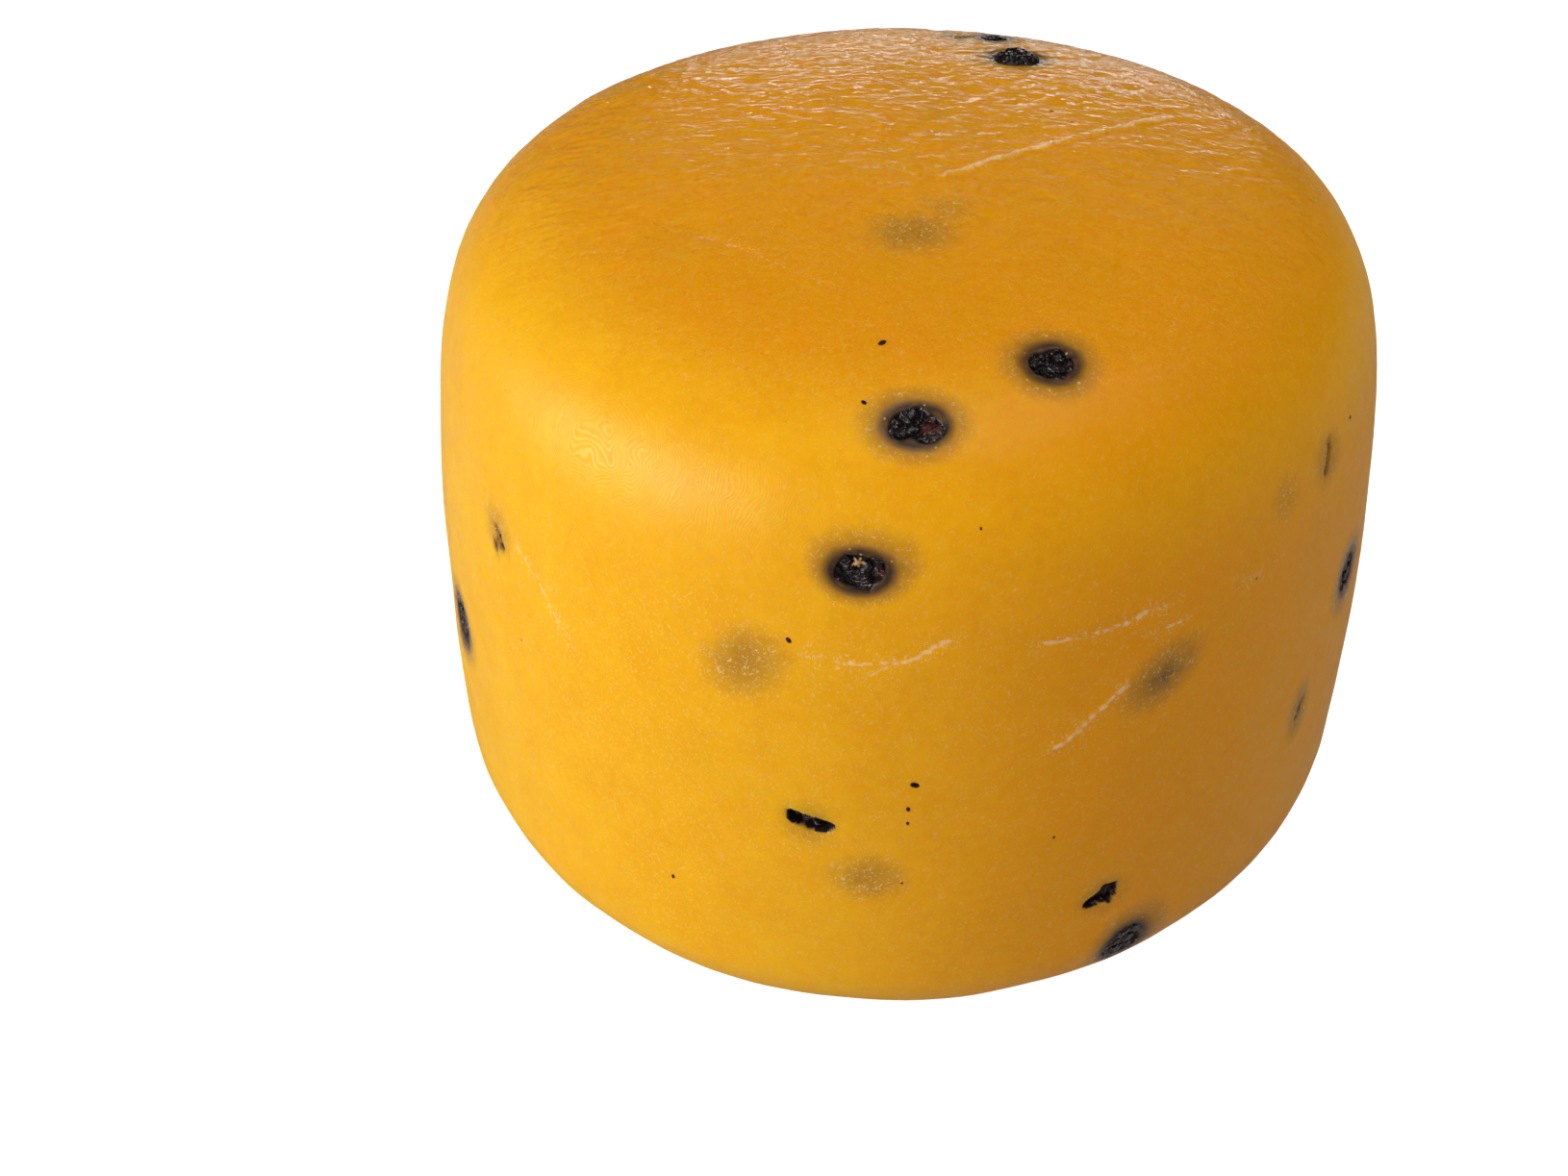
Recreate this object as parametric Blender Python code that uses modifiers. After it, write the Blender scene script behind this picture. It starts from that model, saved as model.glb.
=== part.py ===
"""A small saffron cheese wheel with whole black peppercorns set in its skin.

Lengths are in metres and +Z is up. The origin is the middle of the flat base. A place
on the skin has two numbers: its azimuth, anticlockwise from +X as seen from above, and
its reach, the distance along the skin from the middle of the top face.
"""

import math
from dataclasses import dataclass

import bmesh
import bpy
import numpy as np
from mathutils import Matrix, Vector, noise

MM = 0.001

# The turned section of the wheel.
RADIUS = 43.0 * MM  # at the widest, half way up the wall
RIM_HEIGHT = 62.5 * MM  # where the rim of the top face would stand if it were flat
CROWN = 4.7 * MM  # how much higher the middle of the top face is
BARREL = 2.2 * MM  # how far the wall draws in towards the rim and the base
SHOULDER_FROM = 41.5 * MM  # height at which the wall starts to turn into the top
SHOULDER_BLEND = 3.7  # how squarely the shoulder rises
SHOULDER_TURN = 10.0  # how squarely the shoulder turns in
FOOT_WIDTH = 22.0 * MM  # the rounded lower edge, measured inwards
FOOT_HEIGHT = 12.4 * MM  # the same edge, measured up the wall

# The hand of the maker: a mould that isn't quite round and a rim that isn't quite level.
OVAL = 0.018  # longer from front to back, as a share of the radius
THREE_LOBED = 0.0137  # three soft lobes, as a share of the radius
THREE_LOBED_FROM = math.radians(15)
RIM_WAVE = 0.33 * MM
RIM_WAVE_FROM = math.radians(22.5)
TOP_SLOPE = 0.0104  # the top falls away towards -X by this much for its radius

# How finely the shapes are cut.
SECTION_SAMPLES = 240
LONGEST_STEP = 12.0 * MM
LARGEST_TURN = math.radians(9)
TURNED_STEPS = 60
CORN_SEGMENTS = 12
CORN_RINGS = 8
POCKET_SEGMENTS = 14

# The peppercorns and their pockets.
CORN_GAP = 0.3 * MM  # between a peppercorn and the paste around it
CORN_BELOW_SKIN = 0.15 * MM  # how far under the skin a pressed peppercorn ends
FILM = 0.4 * MM  # paste left over a peppercorn that only shows through a slit
SLIT_DEPTH = 1.0 * MM
WRINKLE_DEPTH = 0.09  # as a share of the peppercorn's radius
WRINKLE_PITCH = 1.9  # wrinkles across one radius


@dataclass(frozen=True)
class Corn:
    """One peppercorn: where it sits, how big it is, and what of it is bare.

    An open peppercorn was pressed flush with the skin and shows through a round mouth.
    One with a slit lies whole under a film of paste that has parted over it.
    """

    azimuth: float  # degrees
    reach: float  # mm along the skin
    radius: float  # mm
    mouth: float  # mm across, or the length of the slit
    slit: float = 0.0  # mm wide; none on an open peppercorn
    turn: float = 0.0  # degrees, from level

    @property
    def sunk(self):
        """Depth of the centre under the skin."""
        pocket = self.radius * MM + CORN_GAP
        if self.slit:
            return pocket + FILM
        return math.sqrt(pocket**2 - (self.mouth * MM / 2) ** 2)


CORNS = {
    "peppercorn_top_back": Corn(64.0, 24.9, 2.75, 4.8),
    "peppercorn_top_back_small": Corn(72.5, 31.2, 2.35, 2.6),
    "peppercorn_top_right": Corn(-71.0, 31.0, 2.7, 4.4),
    "peppercorn_top_front": Corn(-90.8, 35.3, 2.85, 5.0),
    "peppercorn_shoulder_front": Corn(-96.5, 46.5, 2.85, 4.9),
    "peppercorn_wall_left": Corn(-160.2, 72.6, 2.8, 5.0),
    "peppercorn_wall_front": Corn(-101.0, 71.0, 2.7, 4.1, 1.3, -15.0),
    "peppercorn_foot_front": Corn(-67.5, 82.4, 2.6, 2.9, 1.7, 25.0),
    "peppercorn_foot_right": Corn(-63.5, 90.2, 2.75, 4.6),
    "peppercorn_wall_right": Corn(-24.2, 65.2, 2.7, 4.2),
    "peppercorn_back_a": Corn(21.0, 80.0, 2.7, 4.5),
    "peppercorn_back_b": Corn(57.0, 57.0, 2.8, 4.9),
    "peppercorn_back_c": Corn(94.0, 76.0, 2.6, 3.6, 1.2, 20.0),
    "peppercorn_back_d": Corn(124.0, 51.0, 2.75, 4.7),
    "peppercorn_back_e": Corn(166.0, 86.0, 2.7, 4.4),
    "peppercorn_base_a": Corn(-128.0, 112.0, 2.7, 4.6),
    "peppercorn_base_b": Corn(38.0, 107.0, 2.5, 4.0),
}


def clear_scene():
    """Start from an empty scene."""
    for obj in list(bpy.data.objects):
        bpy.data.objects.remove(obj)


def new_collection(name):
    """A collection linked to the scene."""
    collection = bpy.data.collections.new(name)
    bpy.context.scene.collection.children.link(collection)
    return collection


def new_material(name, color, roughness):
    """A Principled material of one colour."""
    material = bpy.data.materials.new(name)
    material.use_nodes = True
    shader = material.node_tree.nodes["Principled BSDF"]
    shader.inputs["Base Color"].default_value = (*color, 1.0)
    shader.inputs["Roughness"].default_value = roughness
    shader.inputs["Metallic"].default_value = 0.0
    material.diffuse_color = (*color, 1.0)
    return material


def wall_radius(height):
    """Radius of the barrel-shaped wall at a height."""
    return RADIUS - BARREL * (2 * height / RIM_HEIGHT - 1) ** 2


def top_section(turn):
    """The dome and shoulder, for angles from a right angle (the middle) down to 0 (the wall)."""
    height = SHOULDER_FROM + (RIM_HEIGHT - SHOULDER_FROM) * np.sin(turn) ** (2 / SHOULDER_BLEND)
    radius = wall_radius(height) * np.maximum(np.cos(turn), 0) ** (2 / SHOULDER_TURN)
    dome = CROWN * (1 - (radius / wall_radius(SHOULDER_FROM)) ** 2)
    return radius, height + dome


def foot_section(turn):
    """The rounded lower edge, for angles from 0 (the wall) up to a right angle (the base)."""
    height = FOOT_HEIGHT * (1 - np.sin(turn))
    inwards = FOOT_WIDTH * (1 - np.cos(turn))
    return wall_radius(height) - inwards, height


def spread_evenly(points, measure, count):
    """Points read off a polyline at even steps of a measure that grows along it."""
    steps = np.linspace(0, measure[-1], count)
    return np.stack([np.interp(steps, measure, points[:, k]) for k in range(2)], axis=1)


def lengths_along(points):
    """Distance from a polyline's start to each of its points."""
    steps = np.linalg.norm(np.diff(points, axis=0), axis=1)
    return np.concatenate([[0.0], np.cumsum(steps)])


def fine_section():
    """The whole section as (radius, height), from the middle of the top to that of the base."""
    # The dome's radius changes fastest near the axis, so the angles are packed there.
    turns = np.pi / 2 * (1 - np.linspace(0, 1, 4 * SECTION_SAMPLES) ** 3)
    dome = np.stack(top_section(turns), axis=1)
    dome[0, 0] = 0.0
    heights = np.linspace(SHOULDER_FROM, FOOT_HEIGHT, SECTION_SAMPLES // 2)[1:-1]
    wall = np.stack([wall_radius(heights), heights], axis=1)
    foot = np.stack(foot_section(np.linspace(0, np.pi / 2, SECTION_SAMPLES)), axis=1)
    base = [[0.0, 0.0]]
    points = np.concatenate([dome, wall, foot, base])
    return spread_evenly(points, lengths_along(points), 4 * SECTION_SAMPLES)


def section_for_turning(fine):
    """Fewer points on the same section: closest together where it bends most."""
    steps = np.diff(fine, axis=0)
    heading = np.unwrap(np.arctan2(steps[:, 1], steps[:, 0]))
    bend = np.abs(np.gradient(heading))
    cost = np.linalg.norm(steps, axis=1) / LONGEST_STEP + bend / LARGEST_TURN
    measure = np.concatenate([[0.0], np.cumsum(cost)])
    return spread_evenly(fine, measure, math.ceil(measure[-1]) + 1)


def made_by_hand(point):
    """A point of the true turned shape, moved to where the slightly uneven wheel has it."""
    azimuth = math.atan2(point.y, point.x)
    out = math.hypot(point.x, point.y) / RADIUS
    plan = 1 - OVAL * math.cos(2 * azimuth)
    plan += THREE_LOBED * math.cos(3 * (azimuth - THREE_LOBED_FROM))
    wave = RIM_WAVE * out**2 * math.cos(2 * (azimuth - RIM_WAVE_FROM))
    lift = (wave + TOP_SLOPE * point.x * plan) * point.z / RIM_HEIGHT
    return Vector((point.x * plan, point.y * plan, point.z + lift))


class Skin:
    """The wheel's outer surface as a function of azimuth and reach."""

    def __init__(self, section):
        self.section = section
        self.reaches = lengths_along(section)

    def point(self, azimuth, reach):
        """The place on the skin, both numbers in radians and metres."""
        radius, height = (np.interp(reach, self.reaches, self.section[:, k]) for k in range(2))
        turned = Vector((radius * math.cos(azimuth), radius * math.sin(azimuth), height))
        return made_by_hand(turned)

    def frame(self, corn):
        """A matrix on the skin: +Z out of it, +X level and to the right as one faces it."""
        azimuth, reach = math.radians(corn.azimuth), corn.reach * MM
        place = self.point(azimuth, reach)
        right = self.point(azimuth + 0.01, reach) - self.point(azimuth - 0.01, reach)
        down = self.point(azimuth, reach + 0.5 * MM) - self.point(azimuth, reach - 0.5 * MM)
        out = down.cross(right).normalized()
        right.normalize()
        axes = Matrix((right, out.cross(right), out)).transposed()
        turn = Matrix.Rotation(math.radians(corn.turn), 4, "Z")
        return Matrix.Translation(place) @ axes.to_4x4() @ turn


def add_object(name, mesh, collection, material=None):
    """A new object for a mesh, shaded smooth."""
    mesh.shade_smooth()
    if material:
        mesh.materials.append(material)
    obj = bpy.data.objects.new(name, mesh)
    collection.objects.link(obj)
    return obj


def turn_wheel(section, collection, material):
    """The wheel: the section turned about Z, then given its slight unevenness."""
    profile = bpy.data.meshes.new("wheel_section")
    corners = [(radius, 0.0, height) for radius, height in section]
    profile.from_pydata(corners, [(i, i + 1) for i in range(len(corners) - 1)], [])
    lathe = bpy.data.objects.new("wheel_lathe", profile)
    collection.objects.link(lathe)
    screw = lathe.modifiers.new("Turned", "SCREW")
    screw.angle = 2 * math.pi
    screw.steps = TURNED_STEPS
    screw.render_steps = TURNED_STEPS
    screw.use_merge_vertices = True
    screw.merge_threshold = 0.00001
    graph = bpy.context.evaluated_depsgraph_get()
    turned = bpy.data.meshes.new_from_object(lathe.evaluated_get(graph))
    bpy.data.objects.remove(lathe)
    turned.name = "wheel"
    for vertex in turned.vertices:
        vertex.co = made_by_hand(vertex.co)
    return add_object("wheel", turned, collection, material)


def ball(radius, segments, rings):
    """A new UV sphere as a bmesh."""
    shape = bmesh.new()
    bmesh.ops.create_uvsphere(shape, u_segments=segments, v_segments=rings, radius=radius)
    return shape


def to_mesh(shape, name):
    """The bmesh as a mesh."""
    mesh = bpy.data.meshes.new(name)
    shape.to_mesh(mesh)
    shape.free()
    return mesh


def wrinkled(direction, seed):
    """Radius factor of a dried peppercorn: smooth humps with narrow valleys between them."""
    field = noise.noise(direction * WRINKLE_PITCH + Vector((seed, 0, 0)))
    return 1 - WRINKLE_DEPTH * (1 - min(1.0, abs(field) / 0.3)) - 0.02


def corn_mesh(name, corn, seed):
    """A wrinkled peppercorn around the origin, pressed flat where it met the mould."""
    shape = ball(corn.radius * MM, CORN_SEGMENTS, CORN_RINGS)
    pressed_at = corn.sunk - CORN_BELOW_SKIN
    for vertex in shape.verts:
        vertex.co *= wrinkled(vertex.co.normalized(), seed)
        vertex.co.z = min(vertex.co.z, pressed_at)
    bmesh.ops.remove_doubles(shape, verts=shape.verts, dist=0.01 * MM)
    return to_mesh(shape, name)


def hide_cutter(obj):
    """Keep a cutter out of the render and show it as wire."""
    obj.hide_render = True
    obj.display_type = "WIRE"


def add_pocket(name, corn, frame, cutters):
    """The cutters that open the paste around one peppercorn."""
    pocket = ball(corn.radius * MM + CORN_GAP, POCKET_SEGMENTS, CORN_RINGS)
    obj = add_object(f"{name}_pocket", to_mesh(pocket, "pocket"), cutters)
    obj.matrix_world = frame @ Matrix.Translation((0, 0, -corn.sunk))
    hide_cutter(obj)
    if not corn.slit:
        return
    slit = ball(1.0, POCKET_SEGMENTS, CORN_RINGS)
    size = (corn.mouth * MM / 2, corn.slit * MM / 2, SLIT_DEPTH)
    bmesh.ops.scale(slit, vec=size, verts=slit.verts)
    obj = add_object(f"{name}_slit", to_mesh(slit, "slit"), cutters)
    obj.matrix_world = frame
    hide_cutter(obj)


def build():
    """The cheese wheel and its peppercorns."""
    clear_scene()
    parts = new_collection("cheese_wheel")
    cutters = new_collection("cutters")
    paste = new_material("saffron_paste", (0.72, 0.36, 0.03), 0.38)
    pepper = new_material("black_pepper", (0.018, 0.012, 0.010), 0.45)

    fine = fine_section()
    skin = Skin(fine)
    wheel = turn_wheel(section_for_turning(fine), parts, paste)
    for seed, (name, corn) in enumerate(CORNS.items()):
        frame = skin.frame(corn)
        add_pocket(name, corn, frame, cutters)
        obj = add_object(name, corn_mesh(name, corn, seed * 7.3), parts, pepper)
        obj.matrix_world = frame @ Matrix.Translation((0, 0, -corn.sunk))
    cut = wheel.modifiers.new("Pockets", "BOOLEAN")
    cut.operation = "DIFFERENCE"
    cut.solver = "EXACT"
    cut.operand_type = "COLLECTION"
    cut.collection = cutters


build()
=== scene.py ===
"""A saffron cheese wheel with whole black peppercorns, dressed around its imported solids.

Lengths are in metres and +Z is up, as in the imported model. A place on the skin has two
numbers: its azimuth, anticlockwise from +X as seen from above, and its reach, the distance
along the skin from the middle of the top face.
"""

import logging
import math
from dataclasses import dataclass, field
from enum import Enum
from typing import Optional, Union

import bmesh
import bpy
import numpy as np
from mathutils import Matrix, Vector, noise


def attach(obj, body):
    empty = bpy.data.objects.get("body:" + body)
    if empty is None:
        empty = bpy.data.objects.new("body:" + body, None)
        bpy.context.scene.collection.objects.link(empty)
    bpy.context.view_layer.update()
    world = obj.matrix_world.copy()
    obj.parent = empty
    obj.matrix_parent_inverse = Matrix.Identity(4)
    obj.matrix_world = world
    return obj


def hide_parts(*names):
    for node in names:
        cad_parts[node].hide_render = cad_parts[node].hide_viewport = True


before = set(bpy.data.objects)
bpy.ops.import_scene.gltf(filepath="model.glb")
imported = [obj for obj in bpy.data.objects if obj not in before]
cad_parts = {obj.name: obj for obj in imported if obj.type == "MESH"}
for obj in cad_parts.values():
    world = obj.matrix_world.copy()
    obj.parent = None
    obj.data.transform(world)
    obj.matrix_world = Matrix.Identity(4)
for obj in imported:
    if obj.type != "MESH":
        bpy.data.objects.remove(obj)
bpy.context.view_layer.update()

MM = 0.001
BODY = "root"
LOG = logging.getLogger("cheese_wheel")

Tint = tuple[float, float, float]
Spot = tuple[float, float]
Feed = Union[float, int, str, tuple, bpy.types.Material, bpy.types.NodeSocket]


# ---------------------------------------------------------------- node trees


class Wiring:
    """Adds nodes to a tree and links them up."""

    def __init__(self, tree: bpy.types.NodeTree) -> None:
        """Keep the tree that the nodes go into."""
        self.tree = tree

    def add(self, kind: str, feeds: Optional[dict] = None, **settings: object) -> bpy.types.Node:
        """Add one node.

        Args:
            kind: The node's type name.
            feeds: What goes into its inputs, by input name or number.
            settings: Options of the node.

        Returns:
            The new node.
        """
        node = self.tree.nodes.new(kind)
        for name, value in settings.items():
            setattr(node, name, value)
        for key, value in (feeds or {}).items():
            self.feed(node.inputs[key], value)
        return node

    def feed(self, socket: bpy.types.NodeSocket, value: Feed) -> None:
        """Link an output to a socket, or set the socket to a plain value.

        Args:
            socket: The input to fill.
            value: An output socket, or the value itself.
        """
        if isinstance(value, bpy.types.NodeSocket):
            self.tree.links.new(value, socket)
        elif isinstance(value, tuple) and len(value) == 3 and socket.type == "RGBA":
            socket.default_value = (*value, 1.0)
        else:
            socket.default_value = value

    def math(self, operation: str, *values: Feed, clamp: bool = False) -> bpy.types.NodeSocket:
        """One arithmetic step.

        Args:
            operation: The operation's name.
            values: Its numbers, in order.
            clamp: Whether the result is kept from 0 to 1.

        Returns:
            The socket that holds the result.
        """
        node = self.add("ShaderNodeMath", dict(enumerate(values)), operation=operation)
        node.use_clamp = clamp
        return node.outputs[0]

    def spread(self, value: Feed, low: float, high: float, start: float = 0.0, end: float = 1.0) -> bpy.types.NodeSocket:
        """A smooth step from one number to another.

        Args:
            value: The number that decides.
            low: Where the step starts.
            high: Where the step ends.
            start: The result before the step.
            end: The result after it.

        Returns:
            The socket that holds the result.
        """
        feeds = {"Value": value, "From Min": low, "From Max": high, "To Min": start, "To Max": end}
        return self.add("ShaderNodeMapRange", feeds, interpolation_type="SMOOTHSTEP").outputs[0]

    def mix(self, share: Feed, first: Feed, second: Feed, blend: str = "MIX") -> bpy.types.NodeSocket:
        """Two colours mixed.

        Args:
            share: How much of the second colour, from 0 to 1.
            first: The colour underneath.
            second: The colour on top.
            blend: How they mix.

        Returns:
            The socket that holds the colour.
        """
        feeds = {0: share, 6: first, 7: second}
        return self.add("ShaderNodeMix", feeds, data_type="RGBA", blend_type=blend).outputs[2]

    def noise(self, place: Feed, scale: float, detail: float = 2.0, roughness: float = 0.5) -> bpy.types.NodeSocket:
        """Soft noise around 0.5.

        Args:
            place: The coordinates.
            scale: Cells in one unit of the coordinates.
            detail: How many finer layers are added.
            roughness: How strong those are.

        Returns:
            The socket that holds the value.
        """
        feeds = {"Vector": place, "Scale": scale, "Detail": detail, "Roughness": roughness}
        return self.add("ShaderNodeTexNoise", feeds).outputs[0]

    def stretched(self, place: Feed, scale: Tint, turn: Tint = (0.0, 0.0, 0.0)) -> bpy.types.NodeSocket:
        """Coordinates scaled and turned about the origin.

        Args:
            place: The coordinates.
            scale: One factor for each axis.
            turn: Rotation in degrees about each axis.

        Returns:
            The socket that holds the new coordinates.
        """
        feeds = {"Vector": place, "Scale": scale, "Rotation": tuple(math.radians(t) for t in turn)}
        return self.add("ShaderNodeMapping", feeds, vector_type="POINT").outputs[0]

    def attribute(self, name: str) -> bpy.types.NodeSocket:
        """The piece's own number of that name, from its mesh."""
        return self.add("ShaderNodeAttribute", attribute_name=name).outputs["Fac"]


class Effects:
    """The effects that more than one finish uses, each built once as a node group."""

    def __init__(self) -> None:
        """Build every group."""
        self.grain = self._waxy_grain()
        self.beads = self._pale_beads()
        self.fibres = self._pale_fibres()
        self.mottle = self._mottle()

    @staticmethod
    def _start(name: str, inputs: dict[str, float], output: str) -> tuple[bpy.types.NodeTree, Wiring, bpy.types.Node, bpy.types.Node]:
        """A new group with its sockets.

        Args:
            name: The group's name.
            inputs: Names and first values of its number inputs, after the coordinates.
            output: Name of its one output, a number.

        Returns:
            The group, its wiring, its input node and its output node.
        """
        group = bpy.data.node_groups.new(name, "ShaderNodeTree")
        group.interface.new_socket("Place", in_out="INPUT", socket_type="NodeSocketVector")
        for label, value in inputs.items():
            socket = group.interface.new_socket(label, in_out="INPUT", socket_type="NodeSocketFloat")
            socket.default_value = value
        group.interface.new_socket(output, in_out="OUTPUT", socket_type="NodeSocketFloat")
        wiring = Wiring(group)
        return group, wiring, wiring.add("NodeGroupInput"), wiring.add("NodeGroupOutput")

    def _waxy_grain(self) -> bpy.types.NodeTree:
        """The uneven, faintly fibrous surface of a pressed and moist thing, as a height."""
        group, w, start, end = self._start("waxy_grain", {"Fine scale": 3.0, "Broad scale": 0.7, "Broad share": 0.6}, "Height")
        place = start.outputs["Place"]
        fine = w.add("ShaderNodeTexNoise", {"Vector": place, "Scale": start.outputs["Fine scale"], "Detail": 3.0, "Roughness": 0.6}).outputs[0]
        broad = w.add("ShaderNodeTexNoise", {"Vector": place, "Scale": start.outputs["Broad scale"], "Detail": 2.0, "Distortion": 0.6}).outputs[0]
        ridged = w.math("ABSOLUTE", w.math("SUBTRACT", broad, 0.5))
        ridged = w.math("MULTIPLY", ridged, w.math("MULTIPLY", start.outputs["Broad share"], 2.0))
        w.feed(end.inputs["Height"], w.math("ADD", fine, ridged))
        return group

    def _pale_beads(self) -> bpy.types.NodeTree:
        """Small round beads of whey scattered over a surface, as a mask."""
        group, w, start, end = self._start("pale_beads", {"Scale": 1.2, "Size": 0.16, "Share": 0.4}, "Mask")
        cells = w.add("ShaderNodeTexVoronoi", {"Vector": start.outputs["Place"], "Scale": start.outputs["Scale"], "Randomness": 1.0})
        picked = w.add("ShaderNodeSeparateColor", {"Color": cells.outputs["Color"]})
        kept = w.math("LESS_THAN", picked.outputs[0], start.outputs["Share"])
        size = w.math("MULTIPLY", start.outputs["Size"], w.math("ADD", picked.outputs[1], 0.5))
        bead = w.math("SUBTRACT", 1.0, w.math("DIVIDE", cells.outputs["Distance"], size), clamp=True)
        w.feed(end.inputs["Mask"], w.math("MULTIPLY", w.math("POWER", bead, 0.6), kept))
        return group

    def _pale_fibres(self) -> bpy.types.NodeTree:
        """Short, thin, curved threads, as a mask."""
        group, w, start, end = self._start("pale_fibres", {"Scale": 1.0, "Thinness": 0.035, "Share": 0.4}, "Mask")
        place, scale = start.outputs["Place"], start.outputs["Scale"]
        field = w.add("ShaderNodeTexNoise", {"Vector": place, "Scale": scale, "Detail": 1.0, "Distortion": 1.2}).outputs[0]
        away = w.math("ABSOLUTE", w.math("SUBTRACT", field, 0.5))
        thread = w.math("SUBTRACT", 1.0, w.math("DIVIDE", away, start.outputs["Thinness"]), clamp=True)
        moved = w.stretched(place, (1.0, 1.0, 1.0), (40.0, 25.0, 70.0))
        where = w.add("ShaderNodeTexNoise", {"Vector": moved, "Scale": w.math("MULTIPLY", scale, 2.2), "Detail": 1.0}).outputs[0]
        kept = w.math("MULTIPLY", w.math("SUBTRACT", w.math("ADD", where, w.math("MULTIPLY", start.outputs["Share"], 0.3)), 0.55), 9.0, clamp=True)
        w.feed(end.inputs["Mask"], w.math("MULTIPLY", thread, kept))
        return group

    def _mottle(self) -> bpy.types.NodeTree:
        """Slow changes of tone over a surface, from 0 to 1."""
        group, w, start, end = self._start("mottle", {"Scale": 0.15, "Contrast": 1.0}, "Tone")
        value = w.add("ShaderNodeTexNoise", {"Vector": start.outputs["Place"], "Scale": start.outputs["Scale"], "Detail": 4.0, "Roughness": 0.55}).outputs[0]
        centred = w.math("MULTIPLY", w.math("SUBTRACT", value, 0.5), w.math("MULTIPLY", start.outputs["Contrast"], 3.0))
        w.feed(end.inputs["Tone"], w.math("ADD", centred, 0.5, clamp=True))
        return group

    @staticmethod
    def place(w: Wiring, group: bpy.types.NodeTree, place: Feed, **values: float) -> bpy.types.NodeSocket:
        """Put one group into a material.

        Args:
            w: The material's wiring.
            group: The effect.
            place: The coordinates it reads.
            values: Its inputs, with underscores for spaces.

        Returns:
            The effect's output.
        """
        node = w.add("ShaderNodeGroup", node_tree=group)
        w.feed(node.inputs["Place"], place)
        for name, value in values.items():
            w.feed(node.inputs[name.replace("_", " ").capitalize()], value)
        return node.outputs[0]


def new_material(name: str) -> tuple[bpy.types.Material, Wiring, bpy.types.Node]:
    """A material with one Principled shader.

    Args:
        name: The material's name.

    Returns:
        The material, its wiring and the shader.
    """
    material = bpy.data.materials.new(name)
    material.use_nodes = True
    return material, Wiring(material.node_tree), material.node_tree.nodes["Principled BSDF"]


def millimetres(w: Wiring) -> bpy.types.NodeSocket:
    """The piece's own coordinates, in millimetres."""
    here = w.add("ShaderNodeTexCoord").outputs["Object"]
    return w.stretched(here, (1 / MM, 1 / MM, 1 / MM))


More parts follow.
